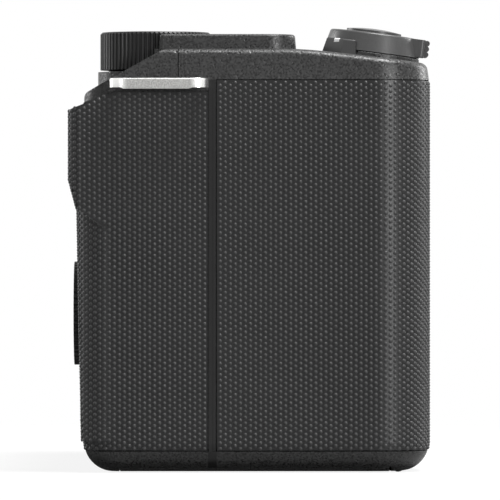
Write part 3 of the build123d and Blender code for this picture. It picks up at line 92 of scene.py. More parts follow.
class Wire:
    """An output socket, on which shader maths is written as an expression."""

    def __init__(self, tree: "Tree", socket: bpy.types.NodeSocket) -> None:
        self.tree = tree
        self.socket = socket

    def maths(self, operation: str, *others: Value, flip: bool = False) -> "Wire":
        """A Math node on this socket.

        Args:
            operation: the Math node's operation.
            others: the values or sockets it works with.
            flip: True puts this socket last, for the reflected operators.

        Returns:
            The node's result.
        """
        values = [*others, self] if flip else [self, *others]
        return self.tree.node("ShaderNodeMath", {"operation": operation}, values)

    # Each operator is a Math node
    __add__ = partialmethod(maths, "ADD")
    __radd__ = partialmethod(maths, "ADD", flip=True)
    __sub__ = partialmethod(maths, "SUBTRACT")
    __rsub__ = partialmethod(maths, "SUBTRACT", flip=True)
    __mul__ = partialmethod(maths, "MULTIPLY")
    __truediv__ = partialmethod(maths, "DIVIDE")
    __pow__ = partialmethod(maths, "POWER")
    __gt__ = partialmethod(maths, "GREATER_THAN")
    __lt__ = partialmethod(maths, "LESS_THAN")
    __abs__ = partialmethod(maths, "ABSOLUTE")

    def scale(self, factor: float) -> "Wire":
        """A colour or vector times a factor."""
        values = {"Vector": self, "Scale": factor}
        return self.tree.node("ShaderNodeVectorMath", {"operation": "SCALE"}, values)

    def swing(self, width: float) -> "Wire":
        """A value from 0 to 1 made one that swings about 0, by that width in all."""
        return (self - 0.5) * width

    def ramp(self, low: float, high: float, to_low: float = 0.0, to_high: float = 1.0) -> "Wire":
        """A smooth step from to_low at low to to_high at high."""
        settings = {"interpolation_type": "SMOOTHSTEP"}
        return self.tree.node("ShaderNodeMapRange", settings, [self, low, high, to_low, to_high])


class Tree:
    """The node tree of a material or a world."""

    def __init__(self, owner: Union[Material, bpy.types.World]) -> None:
        self.owner = owner
        owner.use_nodes = True
        self.nodes = owner.node_tree.nodes
        self.links = owner.node_tree.links
        self.nodes.clear()

    @classmethod
    def material(cls, name: str) -> "Tree":
        """An empty tree in a new material."""
        return cls(bpy.data.materials.new(name))

    def node(
        self,
        kind: str,
        settings: Optional[dict[str, Any]] = None,
        values: Union[Sequence[Value], dict[Union[str, int], Value], None] = None,
        output: Union[int, str] = 0,
    ) -> Wire:
        """Adds a node.

        Args:
            kind: the node's type.
            settings: its properties; "stops" are a ramp's (place, colour) pairs.
            values: its inputs in order, or by name or number, as values or wires.
            output: the output that is wanted.

        Returns:
            That output.
        """
        made = self.nodes.new(kind)
        for key, value in (settings or {}).items():
            if key == "stops":
                self._stops(made.color_ramp, value)
            else:
                setattr(made, key, value)
        named = values.items() if isinstance(values, dict) else enumerate(values or [])
        for key, value in named:
            socket = made.inputs[key]
            if isinstance(value, Wire):
                self.links.new(value.socket, socket)
            elif isinstance(value, tuple) and socket.type == "RGBA":
                socket.default_value = (*value, 1.0)
            else:
                socket.default_value = value
        return Wire(self, made.outputs[output])

    @staticmethod
    def _stops(ramp: bpy.types.ColorRamp, stops: Sequence[tuple[float, Colour]]) -> None:
        """Sets a colour ramp's stops.

        Args:
            ramp: the ramp.
            stops: the place from 0 to 1 and the colour of each stop.
        """
        while len(ramp.elements) < len(stops):
            ramp.elements.new(0.5)
        for element, (place, colour) in zip(ramp.elements, stops):
            element.position = place
            element.color = (*colour, 1.0)

    def place(self) -> Wire:
        """Object coordinates, in metres in the shared frame."""
        return self.node("ShaderNodeTexCoord", output="Object")

    def axes(self) -> tuple[Wire, Wire, Wire]:
        """X, Y and Z of the object coordinates, each in millimetres."""
        place = self.place()
        parts = [self.node("ShaderNodeSeparateXYZ", None, [place], output=i) for i in range(3)]
        return tuple(part * (1 / MM) for part in parts)

    def noise(self, cell_mm: float, detail: float = 2.0, stretch: Triple = EVEN) -> Wire:
        """Smooth noise with cells of that size, longer along an axis with a factor below 1."""
        scale = tuple(1 / (cell_mm * MM) * s for s in stretch)
        spread = self.node("ShaderNodeMapping", None, {"Vector": self.place(), "Scale": scale})
        values = {"Vector": spread, "Scale": 1.0, "Detail": detail}
        return self.node("ShaderNodeTexNoise", None, values)

    def cells(self, cell_mm: float) -> Wire:
        """Distance from the middle of irregular cells of that size."""
        values = {"Vector": self.place(), "Scale": 1 / (cell_mm * MM)}
        return self.node("ShaderNodeTexVoronoi", None, values)

    def mix(self, factor: Value, low: Value, high: Value) -> Wire:
        """A mix of two colours, which are the Mix node's inputs 6 and 7."""
        values = {0: factor, 6: low, 7: high}
        return self.node("ShaderNodeMix", {"data_type": "RGBA"}, values, output=2)

    def toned(self, tone: Wire, colour: Value) -> Wire:
        """A colour times a tone, as a mix of black and twice the colour by half the tone."""
        twice = colour.scale(2.0) if isinstance(colour, Wire) else scaled(colour, 2.0)
        return self.mix(tone * 0.5, BLACK, twice)

    def bump(self, height_mm: Wire) -> Wire:
        """A normal from a height in millimetres."""
        values = {"Strength": 1.0, "Distance": MM, "Height": height_mm}
        return self.node("ShaderNodeBump", None, values)

    def solid(
        self,
        colour: Value,
        rough: Value,
        height_mm: Wire,
        metallic: float = 0.0,
        specular: float = 0.5,
    ) -> Inputs:
        """The inputs of an opaque shader with a relief."""
        inputs = {"Base Color": colour, "Roughness": rough, "Normal": self.bump(height_mm)}
        return {**inputs, "Metallic": metallic, "Specular IOR Level": specular}

    def surface(self, inputs: Inputs) -> None:
        """Ends the tree in a Principled shader with these inputs."""
        self.end(self.node("ShaderNodeBsdfPrincipled", None, inputs))

    def end(self, shader: Wire) -> None:
        """Joins a shader to the output of the material or the world.

        Args:
            shader: the shader's output.
        """
        world = isinstance(self.owner, bpy.types.World)
        output = self.nodes.new("ShaderNodeOutputWorld" if world else "ShaderNodeOutputMaterial")
        self.links.new(shader.socket, output.inputs["Surface"])


def grey(tone: int) -> Colour:
    """Linear grey of an sRGB tone from 0 to 255."""
    return rgb(tone, tone, tone)


def rgb(red: int, green: int, blue: int) -> Colour:
    """Linear colour of sRGB values from 0 to 255, by the sRGB curve's inverse."""
    share = [c / 255 for c in (red, green, blue)]
    return tuple(c / 12.92 if c <= 0.04045 else ((c + 0.055) / 1.055) ** 2.4 for c in share)


def scaled(colour: Colour, factor: float) -> Colour:
    """A colour made lighter or darker by a factor, and no lighter than white."""
    return tuple(min(1.0, c * factor) for c in colour)


# Finishes


@dataclass(frozen=True)
class Grain:
    """A noise in a finish, and how far it swings the tone, the roughness and the height.

    The tone and the roughness swing by `tone` and `rough` in all, and the height goes from 0
    to height_mm. A factor below 1 in stretch makes longer cells along that axis.
    """

    cell_mm: float
    detail: float = 2.0
    tone: float = 0.0
    rough: float = 0.0
    height_mm: float = 0.0
    stretch: Triple = EVEN

    def read(self, tree: Tree) -> Wire:
        """The noise's value at each place, from 0 to 1."""
        return tree.noise(self.cell_mm, self.detail, self.stretch)


def weathered(tree: Tree, roughness: float, *grains: Grain) -> tuple[Wire, Wire, Wire]:
    """Adds up what grains do to a surface.

    Args:
        tree: the material's tree.
        roughness: the mean roughness.
        grains: the noises.

    Returns:
        The tone about 1, the roughness about its mean, and the height in millimetres.
    """
    tone, rough, height = 1.0, roughness, 0.0
    for grain in grains:
        value = grain.read(tree)
        tone = tone + value.swing(grain.tone)
        rough = rough + value.swing(grain.rough)
        height = height + value * grain.height_mm
    return tone, rough, height


class Finish(ABC):
    """A finish, from which a material is made."""

    def build(self, name: str) -> Material:
        """Makes the material.

        Args:
            name: the material's name.

        Returns:
            The material.
        """
        tree = Tree.material(name)
        tree.surface(self.inputs(tree))
        return tree.owner

    @abstractmethod
    def inputs(self, tree: Tree) -> Inputs:
        """Adds its nodes to a tree, and gives its shader's inputs by name."""


@dataclass(frozen=True)
class Moulded(Finish):
    """Moulded plastic or paint with a fine grain, pits darkened with painted shade, and faint
    cloudiness.

    A pit's spacing is pit_grains grains, its rim lies at shares of the spacing, and its
    depth is pit_depth grains' heights.
    """

    colour: Colour
    roughness: float
    grain_mm: float = 0.3
    grain_detail: float = 3.0
    depth_mm: float = 0.02
    pits: float = 0.0
    speckle: float = 0.15
    specular: float = 0.2
    clouds: Grain = Grain(9.0, tone=0.12)
    speck: Pair = (0.3, 0.7)
    pit_grains: float = 2.8
    pit_rim: Pair = (0.1, 0.36)
    pit_painted_shade: float = 0.6
    pit_depth: float = 2.0
    tone_rough: float = 0.2

    def inputs(self, tree: Tree) -> Inputs:
        """Its shader's inputs."""
        return self.dress(tree, *self.tone_and_relief(tree))

    def tone_and_relief(self, tree: Tree) -> tuple[Wire, Wire]:
        """Works out the grain, the pits and the clouds.

        Args:
            tree: the material's tree.

        Returns:
            How much paler than its colour each place is, and its height in millimetres.
        """
        grain = tree.noise(self.grain_mm, self.grain_detail)
        pit = tree.cells(self.grain_mm * self.pit_grains).ramp(*self.pit_rim, 1.0, 0.0) * self.pits
        speck = grain.ramp(*self.speck).swing(2 * self.speckle)
        clouds = self.clouds.read(tree).swing(self.clouds.tone)
        # The pits are real dents, and their darker tone is painted shade in those dents
        tone = 1 + speck + clouds - pit * self.pit_painted_shade
        return tone, grain * self.depth_mm - pit * (self.pit_depth * self.depth_mm)

    def dress(self, tree: Tree, tone: Wire, height: Wire) -> Inputs:
        """The shader's inputs for a tone and a height."""
        rough = self.roughness + (tone - 1) * self.tone_rough
        return tree.solid(tree.toned(tone, self.colour), rough, height, specular=self.specular)


@dataclass(frozen=True)
class CoverPlastic(Moulded):
    """The covers' plastic, which is smooth and darker on the strip between the rubbers."""

    strip_y: Pair = (4.9, 6.2)
    strip_x: float = -55.0
    strip_top: float = 58.9
    strip_tone: float = 0.4

    def inputs(self, tree: Tree) -> Inputs:
        """Its shader's inputs."""
        tone, height = self.tone_and_relief(tree)
        x, y, z = tree.axes()
        beside = (y > self.strip_y[0]) * (y < self.strip_y[1])
        strip = beside * (x < self.strip_x) * (z < self.strip_top)
        rest = 1 - strip
        return self.dress(tree, tone * rest + strip * self.strip_tone, height * rest)


@dataclass(frozen=True)
class GripRubber(Finish):
    """Dull rubber with a very fine skin, dust, and broad patches worn a little smoother."""

    colour: Colour
    roughness: float = 0.33
    specular: float = 0.28
    skin: Grain = Grain(0.12, tone=0.3, rough=0.08, height_mm=0.003)
    patches: Grain = Grain(11.0, 3.0, tone=0.14, rough=0.16)
    dust: Grain = Grain(0.5, 4.0, tone=0.15)
    dusty: Pair = (0.62, 0.8)

    def inputs(self, tree: Tree) -> Inputs:
        """Its shader's inputs."""
        tone, rough, height = weathered(tree, self.roughness, self.skin, self.patches)
        dust = self.dust.read(tree).ramp(*self.dusty) * self.dust.tone
        colour = tree.toned(tone + dust, self.colour)
        return tree.solid(colour, rough, height, specular=self.specular)


@dataclass(frozen=True)
class Brushed(Finish):
    """Metal with fine marks along one direction, smudged in broad patches."""

    colour: Colour
    roughness: float
    along: Triple = EVEN
    marks: Grain = Grain(0.15, tone=0.3, rough=0.2, height_mm=0.004)
    smudge: Grain = Grain(6.0, 3.0, tone=0.1, rough=0.12)

    def inputs(self, tree: Tree) -> Inputs:
        """Its shader's inputs."""
        marks = replace(self.marks, stretch=self.along)
        tone, rough, height = weathered(tree, self.roughness, marks, self.smudge)
        return tree.solid(tree.toned(tone, self.colour), rough, height, metallic=1.0)


@dataclass(frozen=True)
class Turned(Finish):
    """Metal turned on a lathe, with rings about an axis along Y, at (x, z) = centre."""

    colour: Colour
    centre: Pair
    roughness: float = 0.28
    rings: Grain = Grain(0.12, tone=0.35, rough=0.25, height_mm=0.006)
    smudge: Grain = Grain(5.0, 3.0, tone=0.1, rough=0.1)

    def inputs(self, tree: Tree) -> Inputs:
        """Its shader's inputs; a ring is noise read along the radius alone."""
        x, _, z = tree.axes()
        radius = ((x - self.centre[0]) ** 2.0 + (z - self.centre[1]) ** 2.0) ** 0.5
        rings = tree.node(
            "ShaderNodeTexNoise",
            {"noise_dimensions": "1D"},
            {"W": radius, "Scale": 1 / self.rings.cell_mm, "Detail": self.rings.detail},
        )
        tone, rough, _ = weathered(tree, self.roughness, self.smudge)
        colour = tree.toned(tone + rings.swing(self.rings.tone), self.colour)
        rough = rough + rings.swing(self.rings.rough)
        return tree.solid(colour, rough, rings * self.rings.height_mm, metallic=1.0)


@dataclass(frozen=True)
class LugMetal(Finish):
    """Nickel loop: polished round its ends, frosted along its straight middle.

    The frost reaches straight_mm to each side of middle_y, and fades over fade_mm.
    """

    polished: Colour
    frosted: Colour
    roughness: float = 0.24
    frost_rough: float = 0.22
    middle_y: float = 13.5
    straight_mm: float = 4.6
    fade_mm: float = 1.2
    grain: Grain = Grain(0.16, 3.0, tone=1.6, rough=0.1, height_mm=0.05)

    def inputs(self, tree: Tree) -> Inputs:
        """Its shader's inputs."""
        _, y, _ = tree.axes()
        end = self.straight_mm + self.fade_mm
        frost = abs(y - self.middle_y).ramp(self.straight_mm, end, 1.0, 0.0)
        tone, rough, height = weathered(tree, self.roughness, self.grain)
        metal = tree.mix(frost, self.polished, self.frosted)
        colour = tree.toned(1 + (tone - 1) * frost, metal)
        rough = rough + frost * self.frost_rough
        return tree.solid(colour, rough, height * frost, metallic=1.0)


@dataclass(frozen=True)
class DarkGlass(Finish):
    """Black glass over a screen, with a faint sheen of wiping marks."""

    colour: Colour
    roughness: float = 0.05
    coat: float = 0.4
    sheen: float = 1.5
    wipes: Grain = Grain(7.0, 4.0, rough=0.08, stretch=(1.0, 1.0, 0.3))
    sheen_ramp: Pair = (0.35, 0.75)
    rough_ramp: Pair = (0.4, 0.8)

    def inputs(self, tree: Tree) -> Inputs:
        """Its shader's inputs."""
        wipes = self.wipes.read(tree)
        sheen = scaled(self.colour, self.sheen)
        return {
            "Base Color": tree.mix(wipes.ramp(*self.sheen_ramp), self.colour, sheen),
            "Roughness": self.roughness + wipes.ramp(*self.rough_ramp) * self.wipes.rough,
            "Coat Weight": self.coat,
        }


@dataclass(frozen=True)
class FilterGlass(Finish):
    """Thin coated glass that shows two sheens, over what lies behind it."""

    sheens: tuple[Colour, Colour]
    roughness: float = 0.04
    clouds: Grain = Grain(9.0)
    sheen_ramp: Pair = (0.35, 0.7)
    alpha: float = 0.16
    cloud_alpha: float = 0.06

    def inputs(self, tree: Tree) -> Inputs:
        """Its shader's inputs."""
        clouds = self.clouds.read(tree)
        return {
            "Base Color": tree.mix(clouds.ramp(*self.sheen_ramp), *self.sheens),
            "Roughness": self.roughness,
            "Alpha": self.alpha + clouds * self.cloud_alpha,
        }


@dataclass(frozen=True)
class SensorChip(Finish):
    """Silicon whose fine lines split light into bands of colour.

    The bands, each after its place from 0 to 1, lie across a way that has a share of x and
    one of z, between two reaches from the centre. The haze bends them by its height.
    """

    centre: Pair
    bands: tuple[tuple[float, Colour], ...]
    across: Pair = (0.6, 0.8)
    reach_mm: Pair = (-9.0, 11.0)
    haze: Grain = Grain(5.0, height_mm=4.0)
    lines: Grain = Grain(0.05, 0.0, rough=0.1, stretch=(1.0, 1.0, 0.1))
    roughness: float = 0.12
    metallic: float = 0.85

    def inputs(self, tree: Tree) -> Inputs:
        """Its shader's inputs."""
        x, _, z = tree.axes()
        across = (x - self.centre[0]) * self.across[0] + (z - self.centre[1]) * self.across[1]
        place = (across + self.haze.read(tree) * self.haze.height_mm).ramp(*self.reach_mm)
        return {
            "Base Color": tree.node("ShaderNodeValToRGB", {"stops": self.bands}, [place]),
            "Roughness": self.roughness + self.lines.read(tree) * self.lines.rough,
            "Metallic": self.metallic,
        }


@dataclass(frozen=True)
class CircuitBoard(Finish):
    """Solder mask with copper tracks under it, and pale joints.

    Each millimetre along X holds a gap and a track, and each along Z or Y a cut and a run.
    """

    mask: Colour
    track: Colour
    joint: Colour
    gap: float = 0.62
    cut: float = 0.2
    wander: Grain = Grain(3.0, 0.0, height_mm=1.6)
    joint_mm: float = 1.4
    joint_size: float = 0.2
    roughness: float = 0.35
    joint_rough: float = 0.1
    track_height_mm: float = 0.02
    joint_height_mm: float = 0.05

    def inputs(self, tree: Tree) -> Inputs:
        """Its shader's inputs."""
        x, y, z = tree.axes()
        wander = self.wander.read(tree) * self.wander.height_mm
        runs = (z + y + wander).maths("FRACT") > self.cut
        tracks = ((x + wander).maths("FRACT") > self.gap) * runs
        joints = tree.cells(self.joint_mm) < self.joint_size
        height = tracks * self.track_height_mm + joints * self.joint_height_mm
        colour = tree.mix(joints, tree.mix(tracks, self.mask, self.track), self.joint)
        return tree.solid(colour, self.roughness + joints * self.joint_rough, height)


@dataclass(frozen=True)
class IndexMarked(Finish):
    """Satin paint with one index line over the rim of a turning lever.

    The line lies above low_z on the radius at angle_deg, from inner_mm outwards.
    """

    colour: Colour
    line: Colour
    centre: Pair
    angle_deg: float
    inner_mm: float
    low_z: float
    half_width_mm: float
    roughness: float = 0.34
    line_rough: float = 0.15
    grain: Grain = Grain(0.2, tone=0.16, rough=0.1, height_mm=0.006)

    def inputs(self, tree: Tree) -> Inputs:
        """Its shader's inputs."""
        x, y, z = tree.axes()
        turn = math.radians(self.angle_deg)
        x = x - self.centre[0]
        y = y - self.centre[1]
        reach = x * math.cos(turn) + y * math.sin(turn)
        aside = abs(y * math.cos(turn) - x * math.sin(turn))
        line = (aside < self.half_width_mm) * (reach > self.inner_mm) * (z > self.low_z)
        tone, rough, height = weathered(tree, self.roughness, self.grain)
        colour = tree.mix(line, tree.toned(tone, self.colour), self.line)
        return tree.solid(colour, rough + line * self.line_rough, height)


@dataclass(frozen=True)
class WrappedCell(Finish):
    """Battery case with a paler, glossier band between two heights, and no words."""

    case: Colour
    band: Colour
    band_z: Pair = (14.0, 40.0)
    roughness: float = 0.5
    band_gloss: float = 0.12
    grain: Grain = Grain(0.4, 3.0, rough=0.15, height_mm=0.01)

    def inputs(self, tree: Tree) -> Inputs:
        """Its shader's inputs."""
        _, _, z = tree.axes()
        inside = (z > self.band_z[0]) * (z < self.band_z[1])
        _, rough, height = weathered(tree, self.roughness, self.grain)
        colour = tree.mix(inside, self.case, self.band)
        return tree.solid(colour, rough - inside * self.band_gloss, height)


# Meshes

# The least length of a run, and the rings of a dome in shares of its radius
LEAST_LENGTH = 1e-9
RING_SHARES = (1.0, 0.68)


def placed(name: str, data: bpy.types.ID) -> bpy.types.Object:
    """A new object with that name and data, linked to the scene."""
    made = bpy.data.objects.new(name, data)
    bpy.context.scene.collection.objects.link(made)
    return made


def new_piece(
    name: str,
    points: Array,
    faces: Sequence[Sequence[int]],
    material: Material,
    smooth: bool = True,
) -> bpy.types.Object:
    """Makes an object at the origin from points in metres.

    Args:
        name: the piece's name.
        points: rows of x, y, z.
        faces: rows of point numbers.
        material: its finish.
        smooth: True shades across the faces.

    Returns:
        The new object.
    """
    mesh = bpy.data.meshes.new(name)
    mesh.from_pydata(points.tolist(), [], faces)
    mesh.polygons.foreach_set("use_smooth", np.full(len(mesh.polygons), smooth))
    mesh.materials.append(material)
    mesh.update()
    return placed(name, mesh)


def rounded_path(corners: Sequence[Triple], step: float) -> Array:
    """Points along an open line whose corners are rounded by arcs.

    A corner with radius r between directions that turn by t is replaced by an arc that
    starts r * tan(t / 2) before it, and whose centre lies r to the side it turns to.

    Args:
        corners: (u, v, radius), where the two ends have no radius.
        step: the spacing of the points.

    Returns:
        Rows of u, v, and the unit normal to the right of the way along.
    """
    rows = []
    start = np.array(corners[0][:2])
    for before, here, after in zip(corners, corners[1:], corners[2:]):
        corner = np.array(here[:2])
        into = corner - np.array(before[:2])
        out = np.array(after[:2]) - corner
        into, out = into / np.linalg.norm(into), out / np.linalg.norm(out)
        turn = math.atan2(into[0] * out[1] - into[1] * out[0], into @ out)
        back = here[2] * math.tan(abs(turn) / 2)
        entry = corner - into * back
        rows.append(_run(start, entry, step))
        side = math.copysign(1.0, turn)
        left = np.array([-into[1], into[0]])
        centre = entry + left * side * here[2]
        count = max(2, int(here[2] * abs(turn) / step))
        angle = np.linspace(0, turn, count, endpoint=False)[:, None]
        spoke = entry - centre
        crossed = np.array([-spoke[1], spoke[0]])
        ring = centre + spoke * np.cos(angle) + crossed * np.sin(angle)
        heading = into * np.cos(angle) + left * np.sin(angle)
        rows.append(np.hstack([ring, heading[:, 1:], -heading[:, :1]]))
        start = corner + out * back
    rows.append(_run(start, np.array(corners[-1][:2]), step))
    return np.vstack(rows)


def _run(start: Array, end: Array, step: float) -> Array:
    """Points along a straight run, from its start up to its end.

    Args:
        start: the start as u, v.
        end: the end as u, v.
        step: the spacing of the points.

    Returns:
        Rows of u, v, and the unit normal to the right of the way along.
    """
    length = float(np.linalg.norm(end - start))
    heading = (end - start) / max(length, LEAST_LENGTH)
    along = np.arange(0, length, step)[:, None]
    points = start + heading * along
    return np.hstack([points, np.tile([heading[1], -heading[0]], (len(points), 1))])


def domes(
    centres: Array, normals: Array, radius: float, height: float, sides: int
) -> tuple[Array, list[list[int]]]:
    """Low round domes, one at each centre, each a cap of a sphere.

    The sphere's radius is R = (radius^2 + height^2) / (2 * height), and a point at angle a
    and reach r from the middle is centre + r * (cos(a) * u + sin(a) * v) + rise * normal,
    with rise = sqrt(R^2 - r^2) - (R - height). A ring's angles are turned by its share of
    a step.

    Args:
        centres: rows of x, y, z.
        normals: unit normals, one for each centre.
        radius: a dome's radius at its rim.
        height: a dome's height.
        sides: corners round a ring.

    Returns:
        All points, and all faces.
    """
    up = np.array([0.0, 0.0, 1.0])
    u = np.cross(up, normals)
    u /= np.linalg.norm(u, axis=1, keepdims=True)
    v = np.cross(normals, u)
    sphere = (radius**2 + height**2) / (2 * height)
    rings = []
    for share in RING_SHARES:
        reach = radius * share
        rise = math.sqrt(sphere**2 - reach**2) - (sphere - height)
        angle = 2 * math.pi * (np.arange(sides) + share) / sides
        ring = reach * (np.cos(angle)[:, None, None] * u + np.sin(angle)[:, None, None] * v)
        rings.append(centres + ring + rise * normals)
    points = np.concatenate([*rings, (centres + height * normals)[None]])
    points = points.transpose(1, 0, 2).reshape(-1, 3)
    low = np.arange(sides)
    turn = (low + 1) % sides
    quads = np.stack([low, turn, turn + sides, low + sides], axis=1)
    tops = np.stack([low + sides, turn + sides, np.full(sides, 2 * sides)], axis=1)
    starts = (np.arange(len(centres)) * (2 * sides + 1))[:, None, None]
    faces = []
    for block in (quads, tops):
        faces += (block + starts).reshape(-1, block.shape[1]).tolist()
    return points, faces


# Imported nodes


@dataclass
class Shells:
    """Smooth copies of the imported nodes, each of which stands for its node.

    Faces that meet at less than flat_deg are joined before edges are rounded, and edges that
    turn more than sharp_deg stay sharp.
    """

    frame: dict[str, Any]
    sharp_deg: float = 32.0
    flat_deg: float = 0.4
    merge_m: float = 2e-6
    round_steps: int = 2

    @property
    def slots(self) -> dict[str, str]:
        """The nodes' material slots."""
        return {p["node"]: p["material_slot"] for p in self.frame["record"]["subparts"]}

    def add(self, node: str, material: Material, bevel_mm: float, sink_mm: float) -> None:
        """Makes a merged copy of a node, shaded smooth between its sharp edges.

        Args:
            node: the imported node's name.
            material: its finish.
            bevel_mm: the width of the rounding on its sharp edges, or 0.
            sink_mm: how far its surface is drawn in, to leave room for what stands on it.
        """
        source = self.frame["nodes"][node]
        mesh = source.data.copy()
        mesh.name = f"{node}_shell"
        work = bmesh.new()
        work.from_mesh(mesh)
        bmesh.ops.remove_doubles(work, verts=work.verts, dist=self.merge_m)
        if bevel_mm:
            flat = math.radians(self.flat_deg)
            bmesh.ops.dissolve_limit(work, angle_limit=flat, verts=work.verts, edges=work.edges)
        if sink_mm:
            work.normal_update()
            for vert in work.verts:
                vert.co -= vert.normal * sink_mm * MM
        limit = math.radians(self.sharp_deg)
        for edge in work.edges:
            edge.smooth = edge.calc_face_angle(0.0) < limit
        for face in work.faces:
            face.smooth = True
        work.to_mesh(mesh)
        work.free()
        mesh.materials.clear()
        mesh.materials.append(material)
        made = placed(f"{node}_shell", mesh)
        if bevel_mm:
            rounding = made.modifiers.new("rounding", "BEVEL")
            rounding.width = bevel_mm * MM
            rounding.segments = self.round_steps
            rounding.limit_method = "ANGLE"
            rounding.angle_limit = limit
            rounding.use_clamp_overlap = True
            rounding.miter_outer = "MITER_ARC"
        even = made.modifiers.new("even_normals", "WEIGHTED_NORMAL")
        even.keep_sharp = True
        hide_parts(node)
        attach(made, source["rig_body"])
        log.info("%s stands for %s", made.name, node)


# Dots on the rubber


@dataclass
class GripDots:
    """The round dots raised on the rubber, on a lattice that runs round the body.

    They stand on the covers' outline moved out by `proud`, to which the rubber's shell is
    drawn in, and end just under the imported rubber's surface. Lengths are in millimetres.

    The pad is the thumb rest, and the tail is the narrow part below it. A face is a place
    along Y, an end one along X, and a round a corner's radius. The face leans from the
    foot's at height 0 to the tail's and the pad's at the two heights of lean_z. The chin
    and the crest are the pad's lower and upper edges on the side, and slope from
    slope_start on. The corners of front_path are (x, y, radius).
    """

    pitch_z: float = 0.85
    pitch_s: float = 0.752
    radius: float = 0.35
    proud: float = -0.05
    height: float = 0.25
    root: float = 0.01
    border: float = 0.33
    first: float = 0.62
    sides: int = 8
    low: float = 3.2
    shoulder: float = 59.0
    near: float = -57.2
    base_round: float = 4.4
    base_low: float = 0.15
    front_path: tuple[Triple, ...] = (
        (near, 5.0, 0.0), (near, -27.1, 8.5), (-31.0, -27.1, 6.0), (-26.3, -16.4, 0.0),
    )
    path_step: float = 0.05
    rear_start: float = 6.1
    rear_length: float = 45.0
    pad_face: float = 27.1
    tail_face: float = 25.9
    foot_face: float = 25.05
    base_face: float = 24.85
    lean_z: Pair = (39.6, 44.0)
    pad_round: float = 2.2
    tail_round: float = 5.5
    pad_end: float = -40.0
    tail_end: float = -50.5
    slope_start: float = 20.1
    chin: float = 35.6
    chin_rise: float = 4.0 / 5.6
    crest: float = 57.3
    crest_fall: float = 0.382

    def lattice(self, length: float) -> tuple[Array, Array]:
        """Places of the dots, where every second column is half a pitch higher.

        Args:
            length: the lattice's length along the outline.

        Returns:
            The distance of each dot along the outline, and its height.
        """
        columns = np.arange(self.first, length - self.border, self.pitch_s)
        rows = np.arange(self.low, self.shoulder, self.pitch_z)
        s, z = np.meshgrid(columns, rows, indexing="ij")
        z = z + ((np.arange(len(columns)) + 1) % 2)[:, None] * self.pitch_z / 2
        keep = (z > self.low + self.border) & (z < self.shoulder - self.border)
        return s[keep], z[keep]

    def drawn_in(self, flat: Array, out: Array, z: Array) -> tuple[Array, Array]:
        """Puts dots on the covers, drawn in where the base is rounded.

        Below the start of the rounding, at depth d, the surface is drawn in by
        R - sqrt(R^2 - d^2), and its normal turns down by asin(d / R).

        Args:
            flat: the outline's points as rows of x, y.
            out: its outward normals as rows of x, y.
            z: the height of each point.

        Returns:
            Points and unit normals as rows of x, y, z.
        """
        depth = np.clip(self.base_low + self.base_round - z, 0, None)
        drawn = self.base_round - np.sqrt(self.base_round**2 - depth**2)
        tilt = np.arcsin(depth / self.base_round)
        points = np.hstack([flat - out * drawn[:, None], z[:, None]])
        normals = np.hstack([out * np.cos(tilt)[:, None], -np.sin(tilt)[:, None]])
        return points, normals

    def piece(self, name: str, points: Array, normals: Array, material: Material) -> None:
        """Makes dots one piece, which rides on the body.

        Args:
            name: the piece's name.
            points: the dots' places as rows of x, y, z.
            normals: their unit normals.
            material: their finish.
        """
        sunk = points + normals * (self.proud - self.root)
        made, faces = domes(sunk * MM, normals, self.radius * MM, self.height * MM, self.sides)
        dots = new_piece(name, made, faces, material)
        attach(dots, "body")
        log.info("%s has %d dots", name, len(points))

    def front(self, material: Material) -> None:
        """Makes dots from the strip on the side, round the grip, to the root of the mount.

        Args:
            material: their finish.
        """
        path = rounded_path(self.front_path, self.path_step)
        steps = np.linalg.norm(np.diff(path[:, :2], axis=0), axis=1)
        along = np.concatenate([[0.0], np.cumsum(steps)])
        s, z = self.lattice(along[-1])
        x, y, out_x, out_y = (np.interp(s, along, path[:, i]) for i in range(4))
        out = np.stack([out_x, out_y], axis=1)
        out /= np.linalg.norm(out, axis=1, keepdims=True)
        points, normals = self.drawn_in(np.stack([x, y], axis=1), out, z)
        self.piece("grip_dots_front", points, normals, material)

    def rear(self, material: Material) -> None:
        """Makes dots behind the strip: on the side, the thumb rest and the tail below it.

        A dot at distance s along the side goes straight to the corner, round it on an arc
        of radius r, and then along the rear, no further back than the face, which leans by
        the height. Above the rest's chin, r is small and the face reaches further right
        than on the tail.

        Args:
            material: their finish.
        """
        s, z = self.lattice(self.rear_length)
        rise = np.clip(self.rear_start + s - self.slope_start, 0, None) * self.chin_rise
        on_pad = z > np.minimum(self.chin + rise, self.lean_z[0])
        on_base = z < self.base_low + self.base_round
        leaning = (self.foot_face, self.tail_face, self.pad_face)
        face = np.where(on_base, self.base_face, np.interp(z, (0.0, *self.lean_z), leaning))
        corner = np.where(on_pad, self.pad_round, self.tail_round)
        outline = np.where(on_base, self.base_face, self.tail_face)
        run = np.where(on_pad, self.pad_face, outline) - corner - self.rear_start
        turn = np.clip((s - run) / corner, 0, math.pi / 2)
        inward = np.clip(s - run - corner * math.pi / 2, 0, None)
        x = self.near + corner * (1 - np.cos(turn)) + inward
        y = self.rear_start + np.minimum(s, run) + corner * np.sin(turn)
        crest = self.crest - np.clip(y - self.slope_start, 0, None) * self.crest_fall
        end = np.where(on_pad, self.pad_end, self.tail_end)
        keep = (z < crest - self.border) & (x < end - self.border)
        turn = np.where(y > face, math.pi / 2, turn)
        out = np.stack([-np.cos(turn), np.sin(turn)], axis=1)
        points, normals = self.drawn_in(np.stack([x, np.minimum(y, face)], axis=1), out, z)
        self.piece("grip_dots_rear", points[keep], normals[keep], material)


# Printed marks


